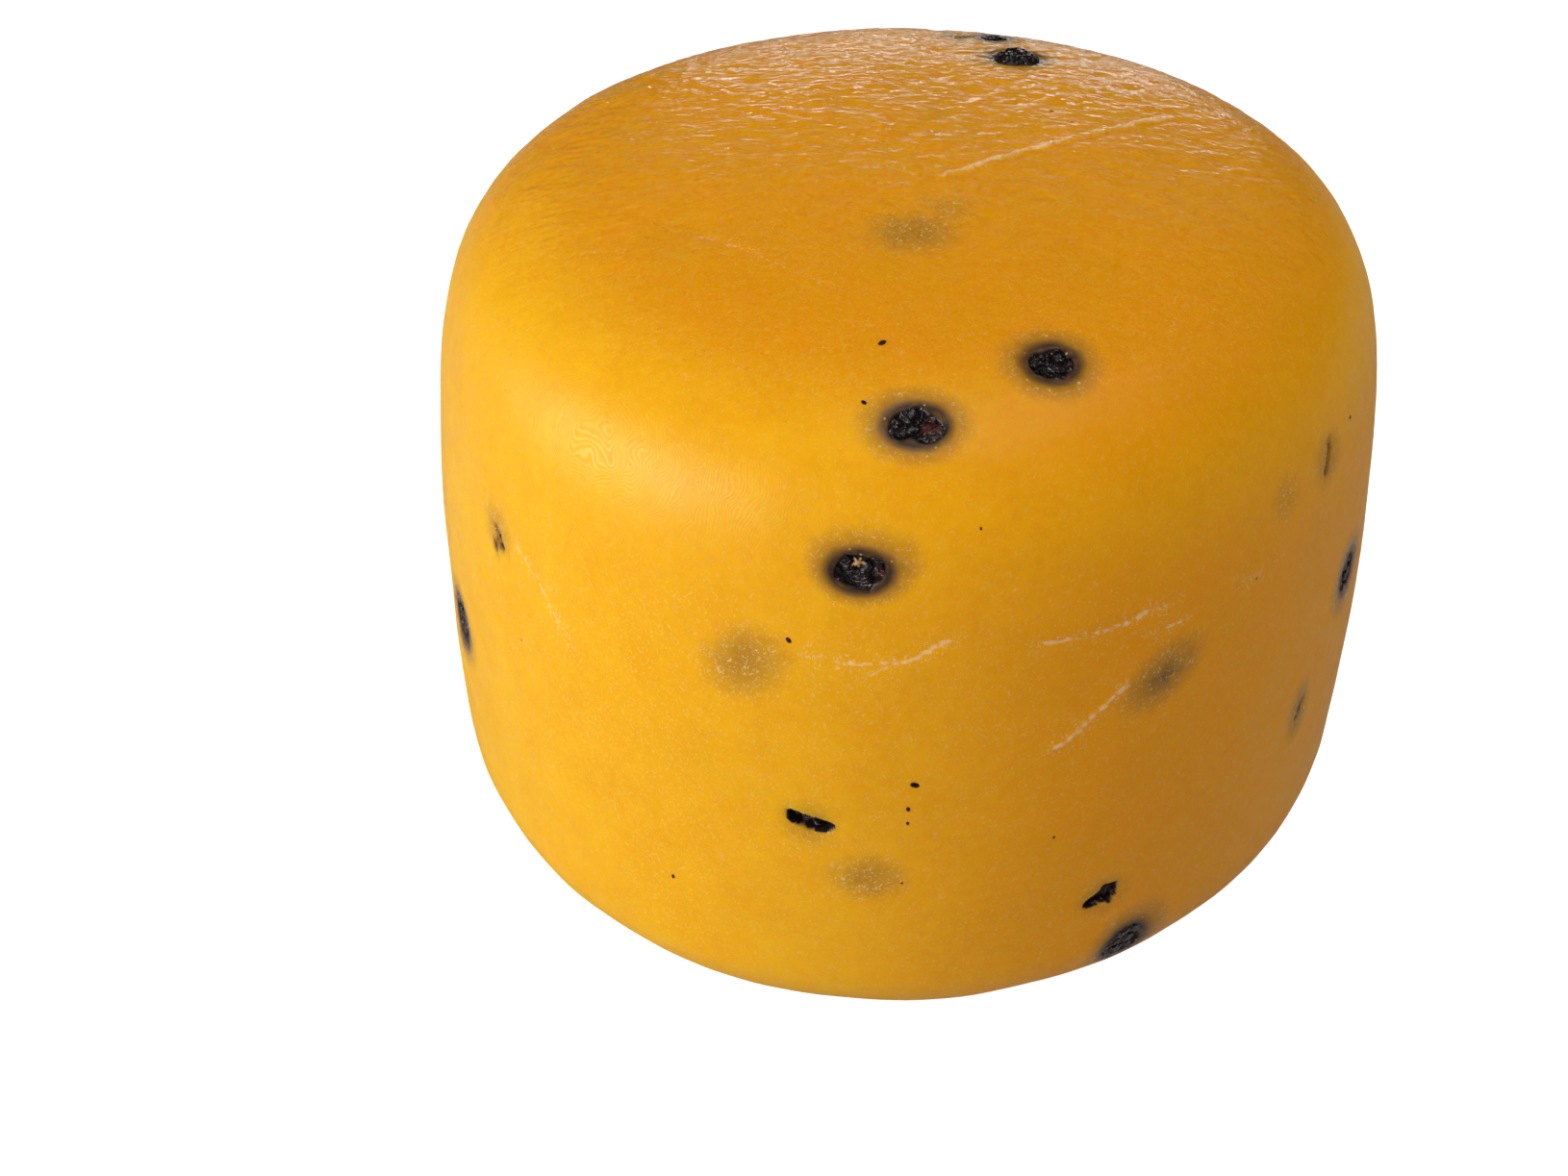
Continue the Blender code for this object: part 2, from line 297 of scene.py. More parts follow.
@dataclass(frozen=True)
class PasteFinish:
    """The waxy saffron paste, with the stain that each peppercorn leaves in it."""

    paste: Tint = (0.850, 0.430, 0.0065)
    # Painted shade: the orange of the top face and of the side away from the lights.
    painted_shade_paste: Tint = (0.845, 0.318, 0.0024)
    deep_paste: Tint = (0.78, 0.335, 0.0016)
    # Painted highlight: the pale yellow of the lit band along the shoulder.
    painted_highlight_paste: Tint = (0.88, 0.520, 0.0200)
    pale_paste: Tint = (0.92, 0.480, 0.0045)
    olive_stain: Tint = (0.42, 0.200, 0.022)
    brown_stain: Tint = (0.120, 0.062, 0.026)
    black_stain: Tint = (0.013, 0.007, 0.008)
    crease: Tint = (0.98, 0.71, 0.40)
    whey: Tint = (0.92, 0.70, 0.34)
    # Painted highlight: pale ring lines inside the shoulder's highlight.
    painted_ring_highlight: Tint = (0.97, 0.72, 0.17)
    # Painted glints: the peach of small highlights over the wrinkled top.
    painted_glint_peach: Tint = (0.95, 0.58, 0.20)
    roughness: float = 0.38
    wet_roughness: float = 0.12

    def build(self, effects: Effects) -> bpy.types.Material:
        """Wire the finish.

        Args:
            effects: The shared effects.

        Returns:
            The material.
        """
        material, w, shader = new_material("saffron_paste")
        place = millimetres(w)
        depth, smudge = self._stain_depth(w, place)
        crease = w.attribute("crease")

        tone = effects.place(w, effects.mottle, place, scale=0.22, contrast=1.1)
        fleck = effects.place(w, effects.mottle, place, scale=1.1, contrast=1.5)
        # Painted shade: orange over the top face and on the side away from the lights.
        colour = w.mix(w.attribute("painted_orange_shade"), self.paste, self.painted_shade_paste)
        colour = w.mix(w.math("MULTIPLY", tone, 0.45), colour, self.deep_paste)
        # Painted highlight: pale yellow along the band where the key light shines on the shoulder.
        colour = w.mix(w.math("MULTIPLY", w.attribute("rings_and_painted_highlight"), 0.5), colour, self.painted_highlight_paste)
        # Fewer pale flecks where the orange painted shade lies.
        calm = w.spread(w.attribute("painted_orange_shade"), 0.0, 1.0, 0.28, 0.10)
        colour = w.mix(w.math("MULTIPLY", fleck, calm), colour, self.pale_paste)
        rings = self._rings(w, place)
        # Painted highlight: the rings drawn as pale lines in the colour; they are also a real bump below.
        colour = w.mix(w.math("MULTIPLY", w.math("MULTIPLY", rings, rings), 0.62), colour, self.painted_ring_highlight)
        fibres = effects.place(w, effects.fibres, place, scale=1.5, thinness=0.030, share=0.45)
        level = w.add("ShaderNodeSeparateXYZ", {"Vector": place}).outputs[2]
        colour = w.mix(w.math("MULTIPLY", fibres, w.spread(level, 46.0, 57.0, 0.27, 0.16)), colour, self.whey)
        # Painted glints: short peach dashes over the wrinkled top.
        painted_glint_dashes = effects.place(w, effects.fibres, w.stretched(place, (0.75, 1.5, 1.0), (0.0, 0.0, 8.0)), scale=1.6, thinness=0.035, share=0.6)
        colour = w.mix(w.math("MULTIPLY", painted_glint_dashes, w.spread(w.attribute("wrinkled_top"), 0.0, 0.4, 0.0, 0.30)), colour, self.painted_glint_peach)
        colour = w.mix(w.spread(depth, 0.15, 2.5, 0.95, 0.0), colour, self.olive_stain)
        colour = w.mix(w.spread(depth, -0.05, 0.80, 1.0, 0.0), colour, self.brown_stain)
        colour = w.mix(w.spread(depth, -0.16, 0.14, 1.0, 0.0), colour, self.black_stain)
        hairs = w.math("MULTIPLY", w.math("MULTIPLY", fibres, w.spread(depth, 0.5, 1.0)), w.spread(depth, 1.0, 2.8, 0.40, 0.0))
        colour = w.mix(hairs, colour, self.whey)
        beads = effects.place(w, effects.beads, place, scale=1.25, size=0.14, share=0.45)
        near = w.spread(depth, 0.1, 3.2, 0.75, 0.16)
        colour = w.mix(w.math("MULTIPLY", beads, near), colour, self.whey)
        threads = w.math("MULTIPLY", fibres, w.spread(crease, 0.02, 0.16, 0.0, 0.65))
        colour = w.mix(threads, colour, self.whey)
        colour = w.mix(w.math("MULTIPLY", w.spread(crease, 0.22, 0.9), 0.52), colour, self.crease)
        w.feed(shader.inputs["Base Color"], colour)

        wet = w.math("MAXIMUM", w.spread(crease, 0.05, 0.7), w.spread(depth, 0.2, 1.6, 0.8, 0.0))
        uneven = w.spread(w.noise(place, 0.55, 3.0), 0.3, 0.7, -0.05, 0.06)
        shiny = w.spread(w.noise(place, 0.75, 1.0), 0.38, 0.58, 0.45, 1.0)
        wet = w.math("MAXIMUM", wet, w.math("MULTIPLY", w.attribute("wrinkled_top"), shiny))
        wet = w.math("MAXIMUM", wet, w.math("MULTIPLY", w.attribute("rings_and_painted_highlight"), 0.55))
        rough = w.math("ADD", uneven, w.math("SUBTRACT", self.roughness, w.math("MULTIPLY", wet, self.roughness - self.wet_roughness)))
        w.feed(shader.inputs["Roughness"], rough)
        w.feed(shader.inputs["Normal"], self._surface(w, effects, place, rings))
        for name, value in {
            "IOR": 1.46,
            "Specular IOR Level": 0.15,
            "Subsurface Weight": 0.85,
            "Subsurface Radius": (1.0, 0.45, 0.08),
            "Subsurface Scale": 0.0040,
            "Coat Weight": 0.0,
            "Coat Roughness": 0.16,
        }.items():
            shader.inputs[name].default_value = value
        return material

    def _stain_depth(self, w: Wiring, place: Feed) -> tuple[bpy.types.NodeSocket, bpy.types.NodeSocket]:
        """How much paste lies over the nearest peppercorn, in millimetres, made ragged.

        Args:
            w: The wiring.
            place: Coordinates in millimetres.

        Returns:
            The ragged depth, and the plain one.
        """
        depth = w.attribute("paste_over_pepper")
        broad = w.math("SUBTRACT", w.noise(place, 0.9, 3.0, 0.6), 0.5)
        fine = w.math("SUBTRACT", w.noise(place, 4.5, 3.0, 0.65), 0.5)
        loose = w.math("MULTIPLY", w.spread(depth, 0.1, 1.2, 0.25, 1.0), w.math("ADD", w.math("MULTIPLY", broad, 0.9), w.math("MULTIPLY", fine, 0.35)))
        return w.math("ADD", depth, loose), depth

    def _rings(self, w: Wiring, place: Feed) -> bpy.types.NodeSocket:
        """Fine rings like a fingertip's along the shoulder, used as a bump and also painted into the colour as pale
        highlight lines.

        Args:
            w: The wiring.
            place: Coordinates in millimetres.

        Returns:
            Their strength, from 0 to 1.
        """
        centred = w.add("ShaderNodeVectorMath", {0: place, 1: (27.3, 33.2, -60.5)}, operation="ADD").outputs[0]
        pattern = {"Scale": 1.25, "Distortion": 34.0, "Detail": 1.0, "Detail Scale": 0.30, "Detail Roughness": 0.4}
        swirl = w.add("ShaderNodeTexWave", {"Vector": centred, **pattern}, wave_type="RINGS", rings_direction="SPHERICAL")
        return w.math("MULTIPLY", swirl.outputs["Fac"], w.attribute("rings_and_painted_highlight"))

    def _surface(self, w: Wiring, effects: Effects, place: Feed, rings: Feed) -> bpy.types.NodeSocket:
        """The small relief of the skin, in millimetres of height.

        Args:
            w: The wiring.
            effects: The shared effects.
            place: Coordinates in millimetres.
            rings: The fine rings along the shoulder.

        Returns:
            The normal that it makes.
        """
        wrinkled = w.attribute("wrinkled_top")
        plain = w.math("SUBTRACT", 1.0, w.math("MULTIPLY", wrinkled, 0.9))
        grain = effects.place(w, effects.grain, place, fine_scale=3.2, broad_scale=0.8, broad_share=0.9)
        height = w.math("MULTIPLY", w.math("MULTIPLY", grain, plain), 0.020)
        # Wrinkles across the top, strongest at its back.
        folds = w.noise(w.stretched(place, (0.85, 1.25, 1.0), (0.0, 0.0, 8.0)), 1.0, 1.4, 0.5)
        patches = w.spread(w.noise(place, 0.16, 1.0), 0.32, 0.66, 0.17, 0.32)
        height = w.math("ADD", height, w.math("MULTIPLY", w.math("MULTIPLY", folds, wrinkled), patches))
        height = w.math("ADD", height, w.math("MULTIPLY", rings, 0.020))
        beads = effects.place(w, effects.beads, place, scale=1.25, size=0.14, share=0.45)
        fibres = effects.place(w, effects.fibres, place, scale=1.5, thinness=0.030, share=0.45)
        height = w.math("ADD", height, w.math("MULTIPLY", w.math("MULTIPLY", w.math("ADD", beads, fibres), plain), 0.014))
        bump = w.add("ShaderNodeBump", {"Height": height, "Strength": 1.0, "Distance": MM})
        return bump.outputs[0]


@dataclass(frozen=True)
class PepperFinish:
    """A soaked black peppercorn: nearly black, with brown ridges and a film of whey."""

    black: Tint = (0.0055, 0.0038, 0.0042)
    ridge: Tint = (0.016, 0.009, 0.009)
    rust: Tint = (0.090, 0.022, 0.012)
    film: Tint = (0.036, 0.021, 0.022)
    star: Tint = (0.520, 0.300, 0.130)
    # Painted glints: the whitish colour of small highlights on the ridges.
    painted_glint_white: Tint = (0.62, 0.56, 0.54)
    roughness: float = 0.09

    def build(self, effects: Effects) -> bpy.types.Material:
        """Wire the finish.

        Args:
            effects: The shared effects.

        Returns:
            The material.
        """
        material, w, shader = new_material("black_pepper")
        place = millimetres(w)
        tone = effects.place(w, effects.mottle, place, scale=1.3, contrast=1.2)
        colour = w.mix(w.math("MULTIPLY", tone, w.attribute("ridge")), self.black, self.ridge)
        colour = w.mix(w.math("MULTIPLY", w.attribute("rust"), w.spread(w.noise(place, 2.4), 0.35, 0.6)), colour, self.rust)
        patchy = w.spread(w.noise(place, 2.8, 4.0, 0.65), 0.42, 0.62)
        colour = w.mix(w.math("MULTIPLY", w.attribute("film"), w.math("MULTIPLY", patchy, 0.7)), colour, self.film)
        beads = effects.place(w, effects.beads, place, scale=1.7, size=0.13, share=0.25)
        colour = w.mix(w.math("MULTIPLY", beads, w.spread(w.attribute("film"), 0.0, 0.8, 0.10, 0.75)), colour, self.star)
        # Painted glints: small whitish dashes on the peppercorn's ridges.
        painted_glint_flakes = effects.place(w, effects.fibres, w.stretched(place, (0.7, 0.7, 1.5)), scale=2.1, thinness=0.030, share=0.32)
        colour = w.mix(w.math("MULTIPLY", painted_glint_flakes, w.spread(w.attribute("ridge"), 0.4, 0.9, 0.0, 0.55)), colour, self.painted_glint_white)
        colour = w.mix(w.attribute("star"), colour, self.star)
        w.feed(shader.inputs["Base Color"], colour)
        w.feed(shader.inputs["Roughness"], w.math("ADD", self.roughness, w.math("MULTIPLY", patchy, 0.06)))
        grain = effects.place(w, effects.grain, place, fine_scale=2.2, broad_scale=1.1, broad_share=1.4)
        w.feed(shader.inputs["Normal"], w.add("ShaderNodeBump", {"Height": grain, "Strength": 1.0, "Distance": 0.05 * MM}).outputs[0])
        shader.inputs["IOR"].default_value = 1.5
        shader.inputs["Specular IOR Level"].default_value = 0.21
        return material


@dataclass(frozen=True)
class DustFinish:
    """Small broken bits of pepper in the skin."""

    dark: Tint = (0.012, 0.006, 0.004)
    brown: Tint = (0.060, 0.020, 0.008)
    roughness: float = 0.42

    def build(self, effects: Effects) -> bpy.types.Material:
        """Wire the finish.

        Args:
            effects: The shared effects.

        Returns:
            The material.
        """
        material, w, shader = new_material("pepper_dust")
        place = millimetres(w)
        tone = effects.place(w, effects.mottle, place, scale=0.6, contrast=1.4)
        w.feed(shader.inputs["Base Color"], w.mix(tone, self.dark, self.brown))
        w.feed(shader.inputs["Roughness"], w.math("ADD", self.roughness, w.math("MULTIPLY", tone, 0.1)))
        grain = effects.place(w, effects.grain, place, fine_scale=7.0, broad_scale=2.0, broad_share=1.0)
        w.feed(shader.inputs["Normal"], w.add("ShaderNodeBump", {"Height": grain, "Strength": 1.0, "Distance": 0.06 * MM}).outputs[0])
        shader.inputs["Specular IOR Level"].default_value = 0.1
        return material


# ---------------------------------------------------------------- the skin


@dataclass(frozen=True)
class Section:
    """The turned section of the wheel and the hand of its maker, in metres."""

    radius: float = 43.0 * MM
    rim_height: float = 62.5 * MM
    crown: float = 4.7 * MM
    barrel: float = 2.2 * MM
    shoulder_from: float = 41.5 * MM
    shoulder_blend: float = 3.7
    shoulder_turn: float = 10.0
    foot_width: float = 22.0 * MM
    foot_height: float = 12.4 * MM
    oval: float = 0.018
    three_lobed: float = 0.0137
    three_lobed_from: float = math.radians(15)
    rim_wave: float = 0.33 * MM
    rim_wave_from: float = math.radians(22.5)
    top_slope: float = 0.0104
    samples: int = 240

    def wall(self, height: np.ndarray) -> np.ndarray:
        """Radius of the barrel-shaped wall at each height."""
        return self.radius - self.barrel * (2 * height / self.rim_height - 1) ** 2

    def outline(self) -> np.ndarray:
        """The section from the middle of the top to that of the base.

        Returns:
            Rows of (radius, height), evenly spaced along the section.
        """
        turn = np.pi / 2 * (1 - np.linspace(0, 1, 4 * self.samples) ** 3)
        height = self.shoulder_from + (self.rim_height - self.shoulder_from) * np.sin(turn) ** (2 / self.shoulder_blend)
        radius = self.wall(height) * np.maximum(np.cos(turn), 0) ** (2 / self.shoulder_turn)
        radius[0] = 0.0
        lift = self.crown * (1 - (radius / self.wall(self.shoulder_from)) ** 2)
        dome = np.stack([radius, height + lift], axis=1)
        level = np.linspace(self.shoulder_from, self.foot_height, self.samples // 2)[1:-1]
        wall = np.stack([self.wall(level), level], axis=1)
        turn = np.linspace(0, np.pi / 2, self.samples)
        level = self.foot_height * (1 - np.sin(turn))
        foot = np.stack([self.wall(level) - self.foot_width * (1 - np.cos(turn)), level], axis=1)
        rows = np.concatenate([dome, wall, foot, [[0.0, 0.0]]])
        along = lengths(rows)
        steps = np.linspace(0, along[-1], 4 * self.samples)
        return np.stack([np.interp(steps, along, rows[:, k]) for k in range(2)], axis=1)


def lengths(rows: np.ndarray) -> np.ndarray:
    """Distance from a line's start to each of its points."""
    return np.concatenate([[0.0], np.cumsum(np.linalg.norm(np.diff(rows, axis=0), axis=1))])


def smooth(value: np.ndarray, low: float, high: float) -> np.ndarray:
    """A smooth step from 0 at low to 1 at high."""
    share = np.clip((value - low) / (high - low), 0.0, 1.0)
    return share * share * (3 - 2 * share)


def field_noise(points: np.ndarray, pitch: float, seed: float) -> np.ndarray:
    """Soft noise at each point.

    Args:
        points: Rows of coordinates in metres.
        pitch: Size of its features in metres.
        seed: Which noise.

    Returns:
        One number from about -1 to 1 for each point.
    """
    shift = Vector((seed, 1.7 * seed, -seed))
    return np.array([noise.noise(Vector(p) + shift) for p in points / pitch])


class Skin:
    """The wheel's outer surface as a function of azimuth and reach."""

    def __init__(self, section: Section) -> None:
        """Take the section's outline."""
        self.section = section
        self.outline = section.outline()
        self.reaches = lengths(self.outline)

    def plan(self, azimuth: np.ndarray) -> np.ndarray:
        """How much further out than round the mould is, at each azimuth."""
        s = self.section
        return 1 - s.oval * np.cos(2 * azimuth) + s.three_lobed * np.cos(3 * (azimuth - s.three_lobed_from))

    def place(self, azimuth: np.ndarray, reach: np.ndarray) -> np.ndarray:
        """Points of the skin.

        Args:
            azimuth: In radians.
            reach: In metres.

        Returns:
            Rows of coordinates in metres.
        """
        s = self.section
        radius, height = (np.interp(reach, self.reaches, self.outline[:, k]) for k in range(2))
        plan = self.plan(azimuth)
        x, y = radius * np.cos(azimuth) * plan, radius * np.sin(azimuth) * plan
        wave = s.rim_wave * (radius / s.radius) ** 2 * np.cos(2 * (azimuth - s.rim_wave_from))
        return np.stack([x, y, height + (wave + s.top_slope * x) * height / s.rim_height], axis=-1)

    def spot(self, azimuth: float, reach: float) -> np.ndarray:
        """The point at an azimuth in degrees and a reach in millimetres."""
        return self.place(np.array(math.radians(azimuth)), np.array(reach * MM))

    def drop(self, points: np.ndarray) -> np.ndarray:
        """Points near the skin, moved onto it.

        Args:
            points: Rows of coordinates in metres.

        Returns:
            The nearest places of the skin, at the same azimuths.
        """
        s = self.section
        azimuth = np.arctan2(points[:, 1], points[:, 0])
        radius = np.hypot(points[:, 0], points[:, 1]) / self.plan(azimuth)
        wave = s.rim_wave * (radius / s.radius) ** 2 * np.cos(2 * (azimuth - s.rim_wave_from))
        height = points[:, 2] / (1 + (wave + s.top_slope * points[:, 0]) / s.rim_height)
        gaps = (radius[:, None] - self.outline[:, 0]) ** 2 + (height[:, None] - self.outline[:, 1]) ** 2
        return self.place(azimuth, self.reaches[gaps.argmin(axis=1)])

    def frame(self, azimuth: float, reach: float, turn: float = 0.0) -> tuple[np.ndarray, np.ndarray]:
        """Where a thing set in the skin sits.

        Args:
            azimuth: In degrees.
            reach: In millimetres.
            turn: In degrees, from level.

        Returns:
            The point, and a matrix whose rows point right, up the slope and out.
        """
        a, r = math.radians(azimuth), reach * MM
        ends = self.place(np.array([a + 0.01, a - 0.01, a, a]), np.array([r, r, r + 0.5 * MM, r - 0.5 * MM]))
        right, down = ends[0] - ends[1], ends[2] - ends[3]
        out = np.cross(down, right)
        out /= np.linalg.norm(out)
        right /= np.linalg.norm(right)
        up = np.cross(out, right)
        c, s = math.cos(math.radians(turn)), math.sin(math.radians(turn))
        return self.spot(azimuth, reach), np.stack([c * right + s * up, c * up - s * right, out])


# ---------------------------------------------------------------- what is set in the skin


class Opening(Enum):
    """How a peppercorn shows through the skin."""

    MOUTH = "mouth"
    SLIT = "slit"


@dataclass(frozen=True)
class Corn:
    """One peppercorn and the opening that it shows through."""

    azimuth: float
    reach: float
    radius: float
    mouth: float
    opening: Opening = Opening.MOUTH
    slit: float = 0.0
    turn: float = 0.0
    squash: float = 1.0  # the mouth's height as a share of its width
    lobes: tuple[tuple[int, float, float], ...] = ((2, 0.05, 20.0), (3, 0.06, 70.0), (5, 0.03, 10.0))
    shift: Spot = (0.0, 0.0)  # of the mouth, in mm to the right and up the slope
    lean: Spot = (0.0, 0.0)  # of the stain around it, likewise
    rust: Optional[Spot] = None
    star: Optional[Spot] = None
    proud: float = 0.0  # how far its middle stands out over the pressed face, in mm

    GAP = 0.3
    FILM = 0.4
    RAISED = 0.25  # the dressed peppercorn sits this much higher, so that the film meets it

    @property
    def sunk(self) -> float:
        """Depth of its centre under the skin, in millimetres."""
        pocket = self.radius + self.GAP
        if self.opening is Opening.SLIT:
            return pocket + self.FILM
        return math.sqrt(pocket**2 - (self.mouth / 2) ** 2)

    @property
    def centre(self) -> np.ndarray:
        """Its centre as seen from its place on the skin, in millimetres."""
        return np.array([0.0, 0.0, self.RAISED - self.sunk])

    def edge(self, angle: np.ndarray) -> np.ndarray:
        """How far its mouth reaches in each direction, in millimetres.

        Args:
            angle: Direction on the skin, in radians from its right.

        Returns:
            The distance from the mouth's own middle.
        """
        if self.opening is Opening.SLIT:
            wide, high = self.mouth / 2, self.slit / 2
        else:
            wide, high = self.mouth / 2 * 0.84, self.mouth / 2 * 0.84 * self.squash
        blunt = 4.0 if self.opening is Opening.SLIT else 2.0
        reach = (np.abs(np.cos(angle) / wide) ** blunt + np.abs(np.sin(angle) / high) ** blunt) ** (-1 / blunt)
        for count, share, start in self.lobes:
            reach = reach * (1 + share * np.cos(count * (angle - math.radians(start))))
        return reach


@dataclass(frozen=True)
class Buried:
    """A peppercorn that lies wholly in the paste and only stains the skin over it."""

    azimuth: float
    reach: float
    radius: float
    over: float  # paste over it, in mm
    stretch: Spot = (1.0, 1.0)
    turn: float = 0.0


class Relief(Enum):
    """What a line on the skin looks like across."""

    WRINKLE = "wrinkle"
    RIDGE = "ridge"
    BEADED = "beaded"
    CRACK = "crack"


@dataclass(frozen=True)
class Line:
    """A crease, ridge or crack along the skin."""

    spots: tuple[Spot, ...]
    relief: Relief = Relief.WRINKLE
    width: float = 0.22
    height: float = 0.07
    pale: float = 1.0


CORNS: dict[str, Corn] = {
    "peppercorn_top_back": Corn(64.0, 24.9, 2.75, 4.8, squash=0.95, lean=(0.2, 0.3), proud=0.8),
    "peppercorn_top_back_small": Corn(72.5, 31.2, 2.35, 2.8, proud=0.7),
    "peppercorn_top_right": Corn(-71.0, 31.0, 2.7, 4.4, squash=0.92, lobes=((2, 0.05, 0.0), (3, 0.05, 30.0), (5, 0.03, 50.0))),
    "peppercorn_top_front": Corn(-90.8, 35.3, 2.85, 5.0, squash=0.76, lobes=((2, 0.06, -25.0), (3, 0.10, -40.0), (5, 0.04, 0.0)), rust=(1.1, -0.2), lean=(-0.2, 0.2)),
    "peppercorn_shoulder_front": Corn(-96.5, 46.5, 2.85, 4.9, squash=0.72, shift=(0.0, -0.35), lobes=((3, 0.05, -90.0), (4, 0.03, 20.0), (7, 0.02, 40.0)), lean=(0.35, 1.1), rust=(1.9, -0.6), star=(-0.15, 0.35)),
    "peppercorn_wall_left": Corn(-160.2, 72.6, 2.8, 5.0),
    "peppercorn_wall_front": Corn(-101.0, 71.0, 2.7, 4.0, Opening.SLIT, 1.35, -15.0, lobes=((3, 0.07, 40.0), (7, 0.05, 10.0))),
    "peppercorn_foot_front": Corn(-67.5, 82.4, 2.6, 2.9, Opening.SLIT, 1.9, 25.0, lobes=((4, 0.16, 0.0), (3, 0.22, 170.0), (7, 0.06, 20.0))),
    "peppercorn_foot_right": Corn(-63.5, 90.2, 2.75, 4.6, lean=(0.7, 0.5)),
    "peppercorn_wall_right": Corn(-24.2, 65.2, 2.7, 4.2),
    "peppercorn_back_a": Corn(21.0, 80.0, 2.7, 4.5, squash=0.85),
    "peppercorn_back_b": Corn(57.0, 57.0, 2.8, 4.9, squash=0.8, lean=(0.0, 0.5), rust=(1.2, 0.2)),
    "peppercorn_back_c": Corn(94.0, 76.0, 2.6, 3.6, Opening.SLIT, 1.0, 20.0, lobes=((3, 0.07, 90.0),)),
    "peppercorn_back_d": Corn(124.0, 51.0, 2.75, 4.7, squash=0.9, lobes=((2, 0.07, 60.0), (3, 0.08, 10.0))),
    "peppercorn_back_e": Corn(166.0, 86.0, 2.7, 4.4, squash=0.85),
    "peppercorn_base_a": Corn(-128.0, 112.0, 2.7, 4.6, squash=0.9),
    "peppercorn_base_b": Corn(38.0, 107.0, 2.5, 4.0, squash=0.85),
}

BURIED: tuple[Buried, ...] = (
    Buried(-62.5, 60.1, 2.7, 0.22, (1.25, 0.8), 30.0),
    Buried(-108.2, 56.1, 2.8, 0.75, (1.2, 1.0), 40.0),
    Buried(-94.8, 76.4, 2.7, 0.95, (1.1, 0.9)),
    Buried(-89.5, 12.6, 2.7, 0.90, (1.35, 1.1)),
    Buried(-70.0, 9.4, 2.3, 1.45),
    Buried(-36.0, 74.4, 1.4, 0.35, (0.7, 1.3)),
    Buried(-34.0, 49.6, 1.2, 0.70),
    Buried(-144.8, 55.6, 1.3, 0.90),
    Buried(77.4, 30.2, 1.2, 0.30, (1.3, 0.8)),
    Buried(-43.8, 49.7, 1.6, 1.45),
    Buried(8.0, 58.0, 2.7, 0.75, (1.1, 0.9)),
    Buried(40.0, 72.0, 2.7, 0.30, (1.3, 0.8), -25.0),
    Buried(78.0, 88.0, 2.6, 0.95),
    Buried(108.0, 64.0, 2.8, 0.45, (1.1, 0.9), 15.0),
    Buried(145.0, 70.0, 2.7, 0.85, (1.2, 0.9)),
    Buried(178.0, 60.0, 2.5, 1.00),
    Buried(100.0, 108.0, 2.7, 0.50),
    Buried(-40.0, 118.0, 2.7, 0.90),
    Buried(-160.0, 98.0, 2.6, 1.05),
)

LINES: tuple[Line, ...] = (
    Line(((-103.8, 54.5), (-95.8, 54.8), (-92.0, 54.5), (-87.5, 52.7), (-84.2, 51.8)), width=0.36, height=0.11),
    Line(((-97.2, 56.5), (-92.0, 54.5)), width=0.30, height=0.08),
    Line(((-80.0, 53.9), (-71.0, 54.0), (-68.8, 53.7), (-64.8, 53.4), (-59.5, 53.4)), width=0.38, height=0.12),
    Line(((-67.0, 55.5), (-60.8, 55.4), (-58.0, 55.4)), width=0.22, height=0.07),
    Line(((-55.2, 54.8), (-43.5, 54.8)), width=0.22, height=0.06, pale=0.7),
    Line(((-77.0, 64.9), (-73.2, 63.4), (-70.0, 61.3), (-66.7, 58.8)), Relief.BEADED, 0.30, 0.12),
    Line(((-142.2, 54.5), (-136.2, 56.7), (-131.2, 60.4), (-129.0, 62.5)), width=0.30, height=0.08, pale=1.0),
    Line(((-74.2, 5.0), (0.8, 9.1), (10.8, 13.2), (20.0, 21.4), (23.8, 30.3)), Relief.RIDGE, 0.34, 0.17, 1.0),
    Line(((-129.0, 6.1), (-74.2, 5.0)), width=0.24, height=0.07, pale=0.7),
    Line(((-173.2, 3.9), (-76.0, 4.2)), width=0.24, height=0.06, pale=0.6),
    Line(((120.0, 2.4), (-23.2, 4.9)), width=0.22, height=0.05, pale=0.5),
    Line(((-153.0, 22.9), (-129.2, 19.9), (-105.0, 21.7)), width=0.30, height=0.07, pale=0.45),
    Line(((-157.5, 31.9), (-150.0, 27.0)), width=0.26, height=0.06, pale=0.45),
    Line(((-35.2, 73.6), (-36.4, 75.2)), Relief.CRACK, 0.16, 0.5),
    Line(((-33.5, 48.9), (-34.8, 50.6)), Relief.CRACK, 0.26, 0.5),
    Line(((-145.1, 55.5), (-144.7, 56.0)), Relief.CRACK, 0.20, 0.30),
    Line(((-144.3, 56.0), (-143.5, 56.9)), Relief.CRACK, 0.20, 0.30),
    Line(((-144.7, 56.6), (-144.1, 57.0)), Relief.CRACK, 0.18, 0.25),
    Line(((-145.4, 57.1), (-145.1, 57.6)), Relief.CRACK, 0.20, 0.30),
    Line(((76.2, 30.5), (78.6, 30.0)), Relief.CRACK, 0.16, 0.5),
    Line(((22.0, 56.0), (34.0, 58.0), (44.0, 57.0)), width=0.26, height=0.09),
    Line(((68.0, 66.0), (80.0, 63.5), (92.0, 64.0), (101.0, 61.0)), width=0.28, height=0.09),
    Line(((112.0, 78.0), (124.0, 75.0), (133.0, 77.0)), Relief.BEADED, 0.28, 0.10),
    Line(((150.0, 52.0), (163.0, 54.0), (175.0, 52.5)), width=0.24, height=0.08, pale=0.8),
    Line(((-178.0, 68.0), (-171.0, 64.0)), width=0.24, height=0.07, pale=0.7),
    Line(((60.0, 100.0), (120.0, 104.0), (150.0, 100.0)), width=0.28, height=0.08, pale=0.7),
    Line(((-20.0, 108.0), (-60.0, 116.0), (-95.0, 113.0)), width=0.28, height=0.08, pale=0.7),
)

